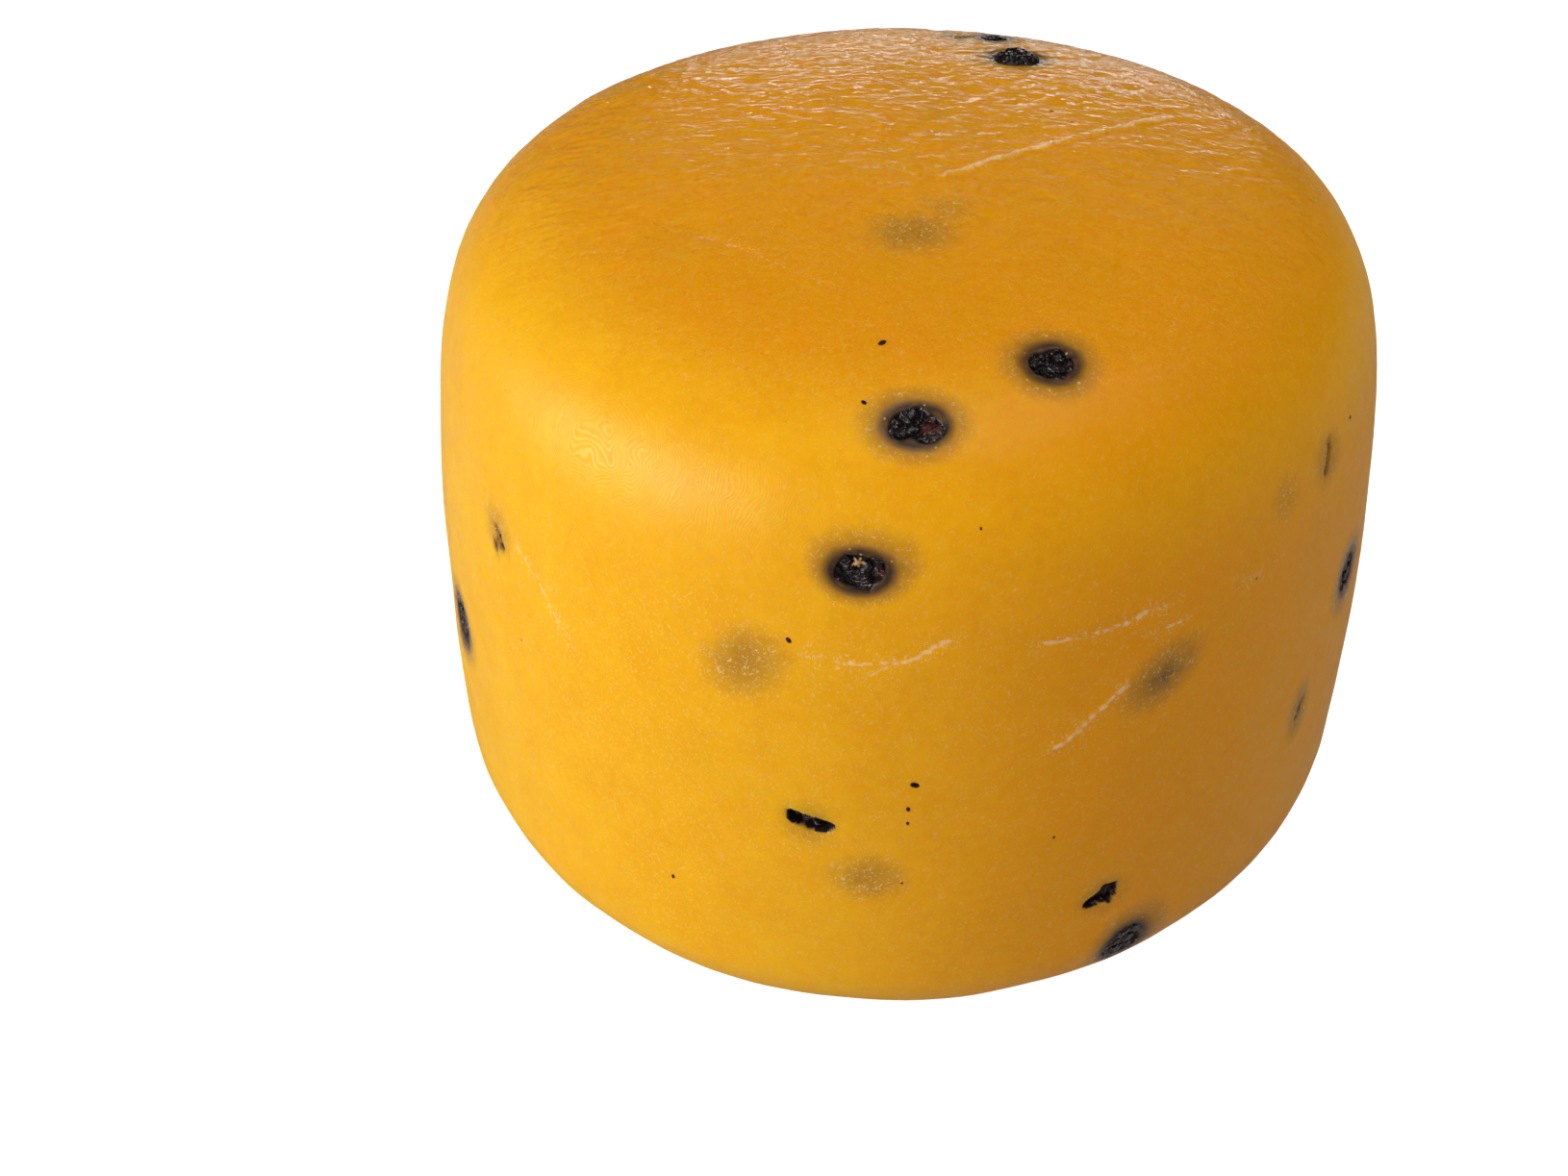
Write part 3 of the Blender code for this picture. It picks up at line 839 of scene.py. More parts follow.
DIMPLES: tuple[tuple[float, float, float, float], ...] = (
    # azimuth, reach, width and depth in mm
    (-130.2, 69.5, 3.0, 0.22),
    (-150.0, 22.0, 6.0, 0.18),
    (30.0, 66.0, 4.0, 0.20),
    (135.0, 60.0, 3.5, 0.18),
    (95.0, 45.0, 4.0, 0.15),
)


class SkinRelief:
    """Everything that lifts, sinks or stains the skin, worked out at points of it."""

    LINE_STEP = 0.4 * MM

    def __init__(self, skin: Skin) -> None:
        """Lay out the creases on the skin."""
        self.skin = skin
        self.lines = [(line, self._trace(line, k)) for k, line in enumerate(LINES)]

    def _trace(self, line: Line, seed: int) -> np.ndarray:
        """The points that a line passes through.

        Args:
            line: The line.
            seed: Which small wobble it has.

        Returns:
            Rows of coordinates on the skin, close together.
        """
        ends = np.array([self.skin.spot(*spot) for spot in line.spots])
        along = lengths(ends)
        count = max(3, round(along[-1] / self.LINE_STEP))
        steps = np.linspace(0, along[-1], count)
        rows = np.stack([np.interp(steps, along, ends[:, k]) for k in range(3)], axis=1)
        kernel = np.ones(5) / 5
        padded = np.pad(rows, ((2, 2), (0, 0)), mode="edge")
        rows = np.stack([np.convolve(padded[:, k], kernel, mode="valid") for k in range(3)], axis=1)
        wobble = np.stack([field_noise(rows, 2.2 * MM, 3.0 * k + seed) for k in range(3)], axis=1)
        return ends if line.relief is Relief.CRACK else self.skin.drop(rows + 0.35 * MM * wobble)

    def nearness(self, points: np.ndarray) -> tuple[np.ndarray, np.ndarray]:
        """How close each point is to where the skin needs a fine mesh.

        Args:
            points: Rows of coordinates in metres.

        Returns:
            Distance from the nearest mouth's edge, and from the nearest line, in mm.
        """
        mouths = np.full(len(points), 99.0)
        for corn in CORNS.values():
            near, local = self._local(points, corn.azimuth, corn.reach, corn.turn, 9.0)
            rho, edge = self._from_mouth(corn, local)
            mouths[near] = np.minimum(mouths[near], np.hypot(rho - edge, 0.6 * local[:, 2]))
        lines = np.full(len(points), 99.0)
        for _, rows in self.lines:
            near, gaps, _ = self._from_line(points, rows, 3.0)
            lines[near] = np.minimum(lines[near], gaps)
        return mouths, lines

    def _local(self, points: np.ndarray, azimuth: float, reach: float, turn: float, within: float) -> tuple[np.ndarray, np.ndarray]:
        """Points near a place on the skin, as seen from it.

        Args:
            points: Rows of coordinates in metres.
            azimuth: In degrees.
            reach: In millimetres.
            turn: In degrees.
            within: How near they have to be, in millimetres.

        Returns:
            Their numbers, and rows of millimetres right, up the slope and out.
        """
        place, axes = self.skin.frame(azimuth, reach, turn)
        offset = (points - place) / MM
        near = np.flatnonzero(np.einsum("ij,ij->i", offset, offset) < within**2)
        return near, offset[near] @ axes.T

    @staticmethod
    def _from_mouth(corn: Corn, local: np.ndarray) -> tuple[np.ndarray, np.ndarray]:
        """Distance from the middle of a mouth, and how far the mouth goes that way.

        Args:
            corn: The peppercorn.
            local: Rows of millimetres in its own frame.

        Returns:
            Both distances in millimetres.
        """
        right, up = local[:, 0] - corn.shift[0], local[:, 1] - corn.shift[1]
        return np.hypot(right, up), corn.edge(np.arctan2(up, right))

    @staticmethod
    def _from_line(points: np.ndarray, rows: np.ndarray, within: float) -> tuple[np.ndarray, np.ndarray, np.ndarray]:
        """Distance of points from a traced line.

        Args:
            points: Rows of coordinates in metres.
            rows: The line's own points.
            within: How near they have to be, in millimetres.

        Returns:
            The near points' numbers, their distances in mm, and how far along they are, from 0 to 1.
        """
        low, high = rows.min(axis=0) - within * MM, rows.max(axis=0) + within * MM
        near = np.flatnonzero(((points > low) & (points < high)).all(axis=1))
        if not len(near):
            return near, np.empty(0), np.empty(0)
        start, step = rows[:-1], np.diff(rows, axis=0)
        offset = points[near][:, None] - start
        share = np.clip((offset * step).sum(-1) / (step * step).sum(-1), 0, 1)
        gaps = np.linalg.norm(offset - share[..., None] * step, axis=-1)
        best = gaps.argmin(axis=1)
        pick = np.arange(len(near))
        return near, gaps[pick, best] / MM, (best + share[pick, best]) / len(start)

    @staticmethod
    def wrinkled(points: np.ndarray) -> np.ndarray:
        """How strongly the top face is wrinkled, most at its back.

        Args:
            points: Rows of coordinates in metres.

        Returns:
            Numbers from 0 to 1.
        """
        out = np.hypot(points[:, 0], points[:, 1]) / MM
        back = 0.24 + 0.76 * smooth(points[:, 1] / MM, -24.0, 26.0)
        return (1 - smooth(out, 33.0, 39.5)) * back * (points[:, 2] > 40 * MM)

    def heights(self, points: np.ndarray) -> tuple[np.ndarray, np.ndarray]:
        """How far the skin stands out, and how pale a crease makes it.

        Args:
            points: Rows of coordinates of the plain skin, in metres.

        Returns:
            Heights in millimetres, and the crease's strength from 0 to 1.
        """
        height = 0.16 * field_noise(points, 11 * MM, 1.0) + 0.05 * field_noise(points, 3.6 * MM, 2.0)
        folds = field_noise(points * np.array([0.7, 1.0, 1.0]), 1.7 * MM, 12.0)
        height += 0.11 * self.wrinkled(points) * (1 - 2.5 * np.abs(folds))
        crease = np.zeros(len(points))
        for azimuth, reach, width, depth in DIMPLES:
            near, local = self._local(points, azimuth, reach, 0.0, 3 * width)
            height[near] -= depth * np.exp(-(local[:, :2] ** 2).sum(axis=1) / (width / 2) ** 2)
        for hidden in BURIED:
            near, local = self._local(points, hidden.azimuth, hidden.reach, hidden.turn, 7.0)
            crease[near] = np.maximum(crease[near], 0.16 * np.exp(-(local[:, :2] ** 2).sum(axis=1) / hidden.radius**2))
        for line, rows in self.lines:
            near, gaps, along = self._from_line(points, rows, 2.0)
            lift, pale = self._across(line, gaps, along, points[near])
            height[near] += lift
            crease[near] = np.maximum(crease[near], pale)
        for corn in CORNS.values():
            near, local = self._local(points, corn.azimuth, corn.reach, corn.turn, 6.0)
            rho, edge = self._from_mouth(corn, local)
            ragged = 0.16 * field_noise(points[near], 0.9 * MM, 5.0) + 0.07 * field_noise(points[near], 0.35 * MM, 6.0)
            out = rho - edge + ragged
            lip = smooth(out, -0.1, 1.2)
            deep = 1 - smooth(out, -0.55, 0.0)
            bead = 0.05 * np.exp(-(((out - 0.15) / 0.20) ** 2)) * (1 + 1.4 * field_noise(points[near], 0.6 * MM, 7.0))
            height[near] = height[near] * lip - 0.13 * (1 - lip) - (0.55 if corn.opening is Opening.MOUTH else 1.2) * deep + bead
        return height, crease

    @staticmethod
    def _across(line: Line, gaps: np.ndarray, along: np.ndarray, points: np.ndarray) -> tuple[np.ndarray, np.ndarray]:
        """The shape of a line across.

        Args:
            line: The line.
            gaps: Distances from it in millimetres.
            along: How far along it, from 0 to 1.
            points: The points themselves.

        Returns:
            Heights in millimetres, and how pale it is from 0 to 1.
        """
        taper = smooth(along, 0.0, 0.15) * smooth(1 - along, 0.0, 0.15) if line.relief is not Relief.CRACK else 1.0
        broken = np.clip(0.70 + 0.9 * field_noise(points, 1.6 * MM, 9.0), 0.1, 1.2)
        dots = np.clip(0.70 + 1.6 * field_noise(points, 0.42 * MM, 8.0), 0.0, 1.3)
        core = np.exp(-((gaps / line.width) ** 2))
        if line.relief is Relief.CRACK:
            return -line.height * core, np.zeros(len(gaps))
        if line.relief is Relief.BEADED:
            beads = np.clip(0.55 + 1.1 * field_noise(points, 0.55 * MM, 4.0), 0.0, 1.4)
            return line.height * core * taper * beads, line.pale * (core * beads + 0.18 * np.exp(-((gaps / 0.9) ** 2))) * taper
        flank = np.exp(-(((gaps - 1.9 * line.width) / line.width) ** 2))
        thread = np.exp(-((gaps / (0.55 * line.width)) ** 2)) * dots
        around = 0.18 * np.exp(-((gaps / 0.9) ** 2))
        if line.relief is Relief.RIDGE:
            return line.height * (core * (0.6 + 0.5 * dots) - 0.3 * flank) * taper * broken, line.pale * (core * (0.4 + 0.6 * dots) + around) * taper * broken
        return line.height * (0.35 * flank - 0.5 * core + 0.6 * thread) * taper * broken, line.pale * (thread + around) * taper * broken

    def paste_over_pepper(self, points: np.ndarray) -> np.ndarray:
        """How much paste lies between each point and the nearest peppercorn.

        Args:
            points: Rows of coordinates in metres.

        Returns:
            Millimetres, up to 6.
        """
        depth = np.full(len(points), 6.0)
        for corn in CORNS.values():
            near, local = self._local(points, corn.azimuth, corn.reach, corn.turn, 10.0)
            rho = np.hypot(local[:, 0], local[:, 1])
            shift = smooth(rho, corn.mouth / 2 - 0.6, corn.mouth / 2 + 3.2)[:, None] * np.array([*corn.lean, 0.0])
            moved = (local - shift - np.array([*corn.shift, 0.0])) / np.array([1.0, corn.squash, 1.0])
            gap = np.linalg.norm(moved - corn.centre, axis=1) - corn.radius
            if corn.opening is Opening.MOUTH:
                gap = np.maximum(gap, local[:, 2] + 0.15)
            else:
                reach, edge = self._from_mouth(corn, local)
                gap = np.where(reach < edge, -0.3, gap + 0.75 * smooth(reach - edge, -0.05, 0.35))
            depth[near] = np.minimum(depth[near], gap)
        for hidden in BURIED:
            near, local = self._local(points, hidden.azimuth, hidden.reach, hidden.turn, 10.0)
            local = local / np.array([*hidden.stretch, 1.0])
            centre = np.array([0.0, 0.0, -hidden.radius - hidden.over])
            depth[near] = np.minimum(depth[near], np.linalg.norm(local - centre, axis=1) - hidden.radius)
        for line, rows in self.lines:
            if line.relief is Relief.CRACK:
                near, gaps, _ = self._from_line(points, rows, 2.0)
                depth[near] = np.minimum(depth[near], 4.5 * (gaps - line.width))
        return depth


# ---------------------------------------------------------------- pieces


def set_numbers(mesh: bpy.types.Mesh, name: str, values: np.ndarray) -> None:
    """Store one number for each vertex of a mesh, under a name."""
    layer = mesh.attributes.get(name) or mesh.attributes.new(name, "FLOAT", "POINT")
    layer.data.foreach_set("value", np.ascontiguousarray(values, np.float32))


def vertex_rows(mesh: bpy.types.Mesh) -> np.ndarray:
    """Coordinates of a mesh's vertices, one row each."""
    rows = np.empty(len(mesh.vertices) * 3, np.float32)
    mesh.vertices.foreach_get("co", rows)
    return rows.reshape(-1, 3).astype(float)


def set_vertex_rows(mesh: bpy.types.Mesh, rows: np.ndarray) -> None:
    """Move a mesh's vertices to these coordinates."""
    mesh.vertices.foreach_set("co", np.ascontiguousarray(rows, np.float32).reshape(-1))
    mesh.update()


def add_piece(name: str, mesh: bpy.types.Mesh, material: bpy.types.Material, slot: Optional[str], *nodes: str) -> bpy.types.Object:
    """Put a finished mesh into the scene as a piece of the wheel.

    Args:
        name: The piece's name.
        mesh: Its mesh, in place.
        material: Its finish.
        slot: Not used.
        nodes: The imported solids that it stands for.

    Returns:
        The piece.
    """
    mesh.materials.clear()
    mesh.materials.append(material)
    mesh.shade_smooth()
    piece = bpy.data.objects.new(name, mesh)
    bpy.context.scene.collection.objects.link(piece)
    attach(piece, BODY)
    if nodes:
        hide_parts(*nodes)
    LOG.info("%s: %d vertices, %d faces", name, len(mesh.vertices), len(mesh.polygons))
    return piece


def run_tree(seedling: bpy.types.Object, tree: bpy.types.NodeTree, values: dict[str, Feed], name: str) -> bpy.types.Mesh:
    """Run a Geometry Nodes tree on an object and keep the plain mesh.

    Args:
        seedling: The object that the tree starts from. It is removed.
        tree: The tree.
        values: Its inputs, by name.
        name: The new mesh's name.

    Returns:
        The mesh.
    """
    modifier = seedling.modifiers.new("Grow", "NODES")
    modifier.node_group = tree
    for item in tree.interface.items_tree:
        if item.in_out == "INPUT" and item.name in values:
            modifier[item.identifier] = values[item.name]
    graph = bpy.context.evaluated_depsgraph_get()
    mesh = bpy.data.meshes.new_from_object(seedling.evaluated_get(graph))
    mesh.name = name
    seedling.modifiers.remove(modifier)
    bpy.data.objects.remove(seedling)
    return mesh


def new_geometry_tree(name: str, inputs: dict[str, str]) -> tuple[bpy.types.NodeTree, Wiring, bpy.types.Node]:
    """A new Geometry Nodes tree with its sockets.

    Args:
        name: The tree's name.
        inputs: Socket types by input name, after the geometry.

    Returns:
        The tree, its wiring and its input node.
    """
    tree = bpy.data.node_groups.new(name, "GeometryNodeTree")
    tree.interface.new_socket("Geometry", in_out="INPUT", socket_type="NodeSocketGeometry")
    for label, kind in inputs.items():
        tree.interface.new_socket(label, in_out="INPUT", socket_type=kind)
    tree.interface.new_socket("Geometry", in_out="OUTPUT", socket_type="NodeSocketGeometry")
    wiring = Wiring(tree)
    return tree, wiring, wiring.add("NodeGroupInput")


def end_tree(w: Wiring, geometry: Feed, material: Feed) -> None:
    """Finish a tree: instances made real and the material set."""
    real = w.add("GeometryNodeRealizeInstances", {0: geometry}).outputs[0]
    dressed = w.add("GeometryNodeSetMaterial", {"Geometry": real, "Material": material}).outputs[0]
    w.feed(w.add("NodeGroupOutput").inputs[0], dressed)


@dataclass
class WheelBody:
    """The wheel of paste: a section turned by rule, then pressed, creased and opened."""

    skin: Skin
    relief: SkinRelief
    steps_around: int = 208
    steps_along: int = 106
    bands: tuple[tuple[float, float], ...] = ((4.2, 1.6), (2.6, 0.9), (1.25, 0.5))  # mm from a mouth's edge, and from a line
    refined_from: float = 0.35  # strength of the wrinkles past which the top has smaller faces

    def build(self, paste: bpy.types.Material) -> bpy.types.Object:
        """Make the wheel.

        Args:
            paste: Its finish.

        Returns:
            The piece.
        """
        mesh = self._turn(paste)
        self._refine(mesh)
        self._press(mesh)
        return add_piece("cheese_wheel_paste", mesh, paste, "saffron_paste", "wheel")

    def _turn(self, paste: bpy.types.Material) -> bpy.types.Mesh:
        """The plain turned shape, by Geometry Nodes.

        Args:
            paste: Its finish.

        Returns:
            A closed mesh with each vertex's reach.
        """
        s = self.skin.section
        lathe = bpy.data.meshes.new("section")
        corners = [(float(r), 0.0, float(h)) for r, h in self.skin.outline]
        lathe.from_pydata(corners, [(i, i + 1) for i in range(len(corners) - 1)], [])
        seedling = bpy.data.objects.new("section", lathe)
        bpy.context.scene.collection.objects.link(seedling)
        values = {
            "Steps around": self.steps_around,
            "Steps along": self.steps_along,
            "Radius": s.radius,
            "Rim height": s.rim_height,
            "Oval": s.oval,
            "Three lobed": s.three_lobed,
            "Three lobed from": s.three_lobed_from,
            "Rim wave": s.rim_wave,
            "Rim wave from": s.rim_wave_from,
            "Top slope": s.top_slope,
            "Paste": paste,
        }
        return run_tree(seedling, self._turning_tree(values), values, "cheese_wheel_paste")

    @staticmethod
    def _turning_tree(values: dict[str, Feed]) -> bpy.types.NodeTree:
        """The tree that turns a section about Z and gives it its slight unevenness.

        Args:
            values: The inputs that it will be given.

        Returns:
            The tree.
        """
        kinds = {float: "NodeSocketFloat", int: "NodeSocketInt"}
        inputs = {name: kinds.get(type(value), "NodeSocketMaterial") for name, value in values.items()}
        tree, w, start = new_geometry_tree("turned_wheel", inputs)
        size = start.outputs
        section = w.add("GeometryNodeMeshToCurve", {"Mesh": size["Geometry"]}).outputs[0]
        grid = w.add(
            "GeometryNodeMeshGrid",
            {"Size X": 1.0, "Size Y": 1.0, "Vertices X": w.math("ADD", size["Steps around"], 1), "Vertices Y": w.math("ADD", size["Steps along"], 1)},
        )
        here = w.add("ShaderNodeSeparateXYZ", {0: w.add("GeometryNodeInputPosition").outputs[0]})
        azimuth = w.math("MULTIPLY", w.math("ADD", here.outputs[0], 0.5), 2 * math.pi)
        share = w.math("ADD", here.outputs[1], 0.5)
        sampled = w.add("GeometryNodeSampleCurve", {"Curves": section, "Factor": share}, mode="FACTOR")
        at = w.add("ShaderNodeSeparateXYZ", {0: sampled.outputs["Position"]})
        radius, height = at.outputs[0], at.outputs[2]

        oval = w.math("MULTIPLY", size["Oval"], w.math("COSINE", w.math("MULTIPLY", azimuth, 2.0)))
        lobes = w.math("COSINE", w.math("MULTIPLY", w.math("SUBTRACT", azimuth, size["Three lobed from"]), 3.0))
        plan = w.math("ADD", w.math("SUBTRACT", 1.0, oval), w.math("MULTIPLY", size["Three lobed"], lobes))
        out = w.math("DIVIDE", radius, size["Radius"])
        swing = w.math("COSINE", w.math("MULTIPLY", w.math("SUBTRACT", azimuth, size["Rim wave from"]), 2.0))
        wave = w.math("MULTIPLY", w.math("MULTIPLY", size["Rim wave"], w.math("MULTIPLY", out, out)), swing)
        far = w.math("MULTIPLY", radius, plan)
        x, y = w.math("MULTIPLY", far, w.math("COSINE", azimuth)), w.math("MULTIPLY", far, w.math("SINE", azimuth))
        lift = w.math("ADD", wave, w.math("MULTIPLY", size["Top slope"], x))
        z = w.math("ADD", height, w.math("DIVIDE", w.math("MULTIPLY", lift, height), size["Rim height"]))

        along = w.math("MULTIPLY", share, w.add("GeometryNodeCurveLength", {"Curve": section}).outputs[0])
        marked = w.add("GeometryNodeStoreNamedAttribute", {"Geometry": grid.outputs[0], "Name": "reach", "Value": along}, data_type="FLOAT", domain="POINT")
        place = w.add("ShaderNodeCombineXYZ", {0: x, 1: y, 2: z}).outputs[0]
        turned = w.add("GeometryNodeSetPosition", {"Geometry": marked.outputs[0], "Position": place}).outputs[0]
        closed = w.add("GeometryNodeMergeByDistance", {"Geometry": turned, "Distance": 0.002 * MM}).outputs[0]
        end_tree(w, closed, size["Paste"])
        return tree

    def _refine(self, mesh: bpy.types.Mesh) -> None:
        """Cut the mesh finer around the mouths and along the creases.

        Args:
            mesh: The turned mesh, changed in place.
        """
        shape = bmesh.new()
        shape.from_mesh(mesh)
        for from_mouth, from_line in self.bands:
            points = np.array([vertex.co[:] for vertex in shape.verts])
            mouths, lines = self.relief.nearness(points)
            wanted = (mouths < from_mouth) | (lines < from_line)
            if from_mouth == self.bands[0][0]:
                wanted |= self.relief.wrinkled(points) > self.refined_from
            shape.verts.index_update()
            edges = [e for e in shape.edges if wanted[e.verts[0].index] and wanted[e.verts[1].index]]
            bmesh.ops.subdivide_edges(shape, edges=edges, cuts=1, use_grid_fill=True)
        bmesh.ops.triangulate(shape, faces=[f for f in shape.faces if len(f.verts) > 4])
        bmesh.ops.recalc_face_normals(shape, faces=shape.faces)
        shape.to_mesh(mesh)
        shape.free()

    def _press(self, mesh: bpy.types.Mesh) -> None:
        """Set each vertex on the skin, lift or sink it, and store what the finish reads.

        Args:
            mesh: The refined mesh, changed in place.
        """
        reach = np.empty(len(mesh.vertices), np.float32)
        mesh.attributes["reach"].data.foreach_get("value", reach)
        rough = vertex_rows(mesh)
        azimuth = np.arctan2(rough[:, 1], rough[:, 0])
        plain = self.skin.place(azimuth, reach.astype(float))
        set_vertex_rows(mesh, plain)
        out = np.empty(len(plain) * 3, np.float32)
        mesh.vertex_normals.foreach_get("vector", out)
        height, crease = self.relief.heights(plain)
        placed = plain + out.reshape(-1, 3) * (height * MM)[:, None]
        placed[:, 2] = np.maximum(placed[:, 2], 0.0)
        set_vertex_rows(mesh, placed)
        set_numbers(mesh, "crease", crease)
        set_numbers(mesh, "paste_over_pepper", self.relief.paste_over_pepper(placed))
        set_numbers(mesh, "wrinkled_top", self.relief.wrinkled(plain))
        # The orange painted shade of the top and of the side away from the lights.
        set_numbers(mesh, "painted_orange_shade", self._painted_orange_shade_mask(np.degrees(azimuth), reach / MM))
        # Where the real rings are, and where the shoulder's highlight is painted.
        set_numbers(mesh, "rings_and_painted_highlight", self._rings_and_painted_highlight_mask(np.degrees(azimuth), reach / MM))
        mesh.attributes.remove(mesh.attributes["reach"])

    @staticmethod
    def _painted_orange_shade_mask(azimuth: np.ndarray, reach: np.ndarray) -> np.ndarray:
        """Painted shade: where the paste is turned orange, over the top face and on the side away from the lights, less
        of it along the shoulder.

        Args:
            azimuth: In degrees.
            reach: In millimetres.

        Returns:
            Numbers from 0 to 1.
        """
        away = np.abs((azimuth + 130.0 + 180.0) % 360.0 - 180.0)
        shoulder = np.exp(-(((reach - 44.0) / 6.0) ** 2))
        return np.maximum(1 - smooth(reach, 27.0, 38.0), smooth(away, 24.0, 68.0) * (1 - 0.55 * shoulder))

    @staticmethod
    def _rings_and_painted_highlight_mask(azimuth: np.ndarray, reach: np.ndarray) -> np.ndarray:
        """Where the shoulder has fine rings and its painted highlight.

        Args:
            azimuth: In degrees.
            reach: In millimetres.

        Returns:
            Numbers from 0 to 1.
        """
        across = np.exp(-(((reach - 42.8) / 3.6) ** 2))
        sides = np.exp(-(((azimuth + 127.0) / 23.0) ** 2)) + 0.7 * np.exp(-(((azimuth - 70.0) / 30.0) ** 2))
        return across * sides


@dataclass
class Peppercorns:
    """The whole peppercorns, each pressed flat where it meets the skin."""

    skin: Skin
    relief: SkinRelief
    wrinkle: float = 0.11  # depth of the wrinkles as a share of the radius
    top: float = 0.10  # how far under the skin the pressed face lies, in mm
    flare: float = 0.07  # how much wider the pressed side is, as a share
    rings: int = 4
    cap_cuts: int = 2

    def build(self, pepper: bpy.types.Material) -> list[bpy.types.Object]:
        """Make every peppercorn.

        Args:
            pepper: Their finish.

        Returns:
            The pieces.
        """
        return [self._one(name, corn, 7.3 * seed, pepper) for seed, (name, corn) in enumerate(CORNS.items())]

    def _one(self, name: str, corn: Corn, seed: float, pepper: bpy.types.Material) -> bpy.types.Object:
        """One wrinkled peppercorn.

        Args:
            name: Its solid's name.
            corn: Where and how big it is.
            seed: Which wrinkles it has.
            pepper: Its finish.

        Returns:
            The piece.
        """
        local = self._ball(corn)
        mesh, rows = local
        unit = rows / np.linalg.norm(rows, axis=1)[:, None]
        broad = np.array([noise.noise(Vector(u) * 2.1 + Vector((seed, 0, 0))) for u in unit])
        fine = np.array([noise.noise(Vector(u) * 6.0 + Vector((0, seed, 0))) for u in unit])
        valley = np.clip(1 - np.abs(broad) / 0.26, 0, 1)
        rows = unit * (corn.radius * (1 - self.wrinkle * valley - 0.018 - 0.016 * np.abs(fine)))[:, None]
        rows = self._flatten(rows, corn, valley, fine)
        place, axes = self.skin.frame(corn.azimuth, corn.reach, corn.turn)
        rho, edge = self._from_edge(corn, rows)
        self._paint(mesh, corn, rows, rho - edge, valley)
        set_vertex_rows(mesh, place + (rows + corn.centre) @ axes * MM)
        return add_piece(f"{name}_whole", mesh, pepper, "black_pepper", name)

    def _ball(self, corn: Corn) -> tuple[bpy.types.Mesh, np.ndarray]:
        """A ball with small faces on the side that shows.

        Args:
            corn: The peppercorn.

        Returns:
            Its mesh and its vertices as rows of millimetres.
        """
        shape = bmesh.new()
        bmesh.ops.create_icosphere(shape, subdivisions=self.rings, radius=corn.radius)
        for cut in range(self.cap_cuts):
            level = corn.radius * (0.35 + 0.1 * cut)
            edges = [e for e in shape.edges if e.verts[0].co.z > level and e.verts[1].co.z > level]
            bmesh.ops.subdivide_edges(shape, edges=edges, cuts=1, use_grid_fill=True)
        bmesh.ops.triangulate(shape, faces=[f for f in shape.faces if len(f.verts) > 4])
        mesh = bpy.data.meshes.new("peppercorn")
        shape.to_mesh(mesh)
        shape.free()
        return mesh, vertex_rows(mesh)

    def _flatten(self, rows: np.ndarray, corn: Corn, valley: np.ndarray, fine: np.ndarray) -> np.ndarray:
        """Press the ball's top flat, and keep some of its wrinkles.

        Args:
            rows: Millimetres around its centre.
            corn: The peppercorn.
            valley: Where its valleys are, from 0 to 1.
            fine: Its fine wrinkles, from -1 to 1.

        Returns:
            The new rows.
        """
        face = -corn.centre[2] - self.top
        flat = rows.copy()
        flat[:, :2] *= 1 + self.flare * smooth(rows[:, 2], 0.0, 1.0)[:, None]
        rho = np.hypot(flat[:, 0], flat[:, 1])
        pressed = face - 0.22 * (rho / corn.radius) ** 2 - 0.34 * valley - 0.16 * np.abs(fine)
        pressed += corn.proud * (1 - smooth(rho, 0.25 * corn.mouth, 0.5 * corn.mouth))
        flat[:, 2] = np.minimum(rows[:, 2], pressed)
        return flat

    @staticmethod
    def _from_edge(corn: Corn, rows: np.ndarray) -> tuple[np.ndarray, np.ndarray]:
        """Distance from the mouth's middle and to its edge, in millimetres."""
        right, up = rows[:, 0] - corn.shift[0], rows[:, 1] - corn.shift[1]
        return np.hypot(right, up), corn.edge(np.arctan2(up, right))

    @staticmethod
    def _paint(mesh: bpy.types.Mesh, corn: Corn, rows: np.ndarray, out: np.ndarray, valley: np.ndarray) -> None:
        """Store where the peppercorn has its ridges, film, rust and star.

        Args:
            mesh: Its mesh.
            corn: The peppercorn.
            rows: Millimetres around its centre.
            out: Distance outside the mouth's edge.
            valley: Where its valleys are, from 0 to 1.
        """
        shown = smooth(rows[:, 2], 0.2, 1.0)
        set_numbers(mesh, "ridge", 1 - valley)
        set_numbers(mesh, "film", smooth(out, -0.50, -0.05) * shown)
        if corn.rust:
            gap = np.hypot(rows[:, 0] - corn.rust[0], rows[:, 1] - corn.rust[1])
            set_numbers(mesh, "rust", (1 - smooth(gap, 0.3, 1.0)) * shown)
        if corn.star:
            right, up = rows[:, 0] - corn.star[0], rows[:, 1] - corn.star[1]
            angle, rho = np.arctan2(up, right), np.hypot(right, up)
            arm = 0.26 + 0.20 * np.cos(5 * angle + 0.6) + 0.09 * np.cos(2 * angle - 0.4)
            set_numbers(mesh, "star", (1 - smooth(rho - arm, -0.05, 0.10)) * shown)


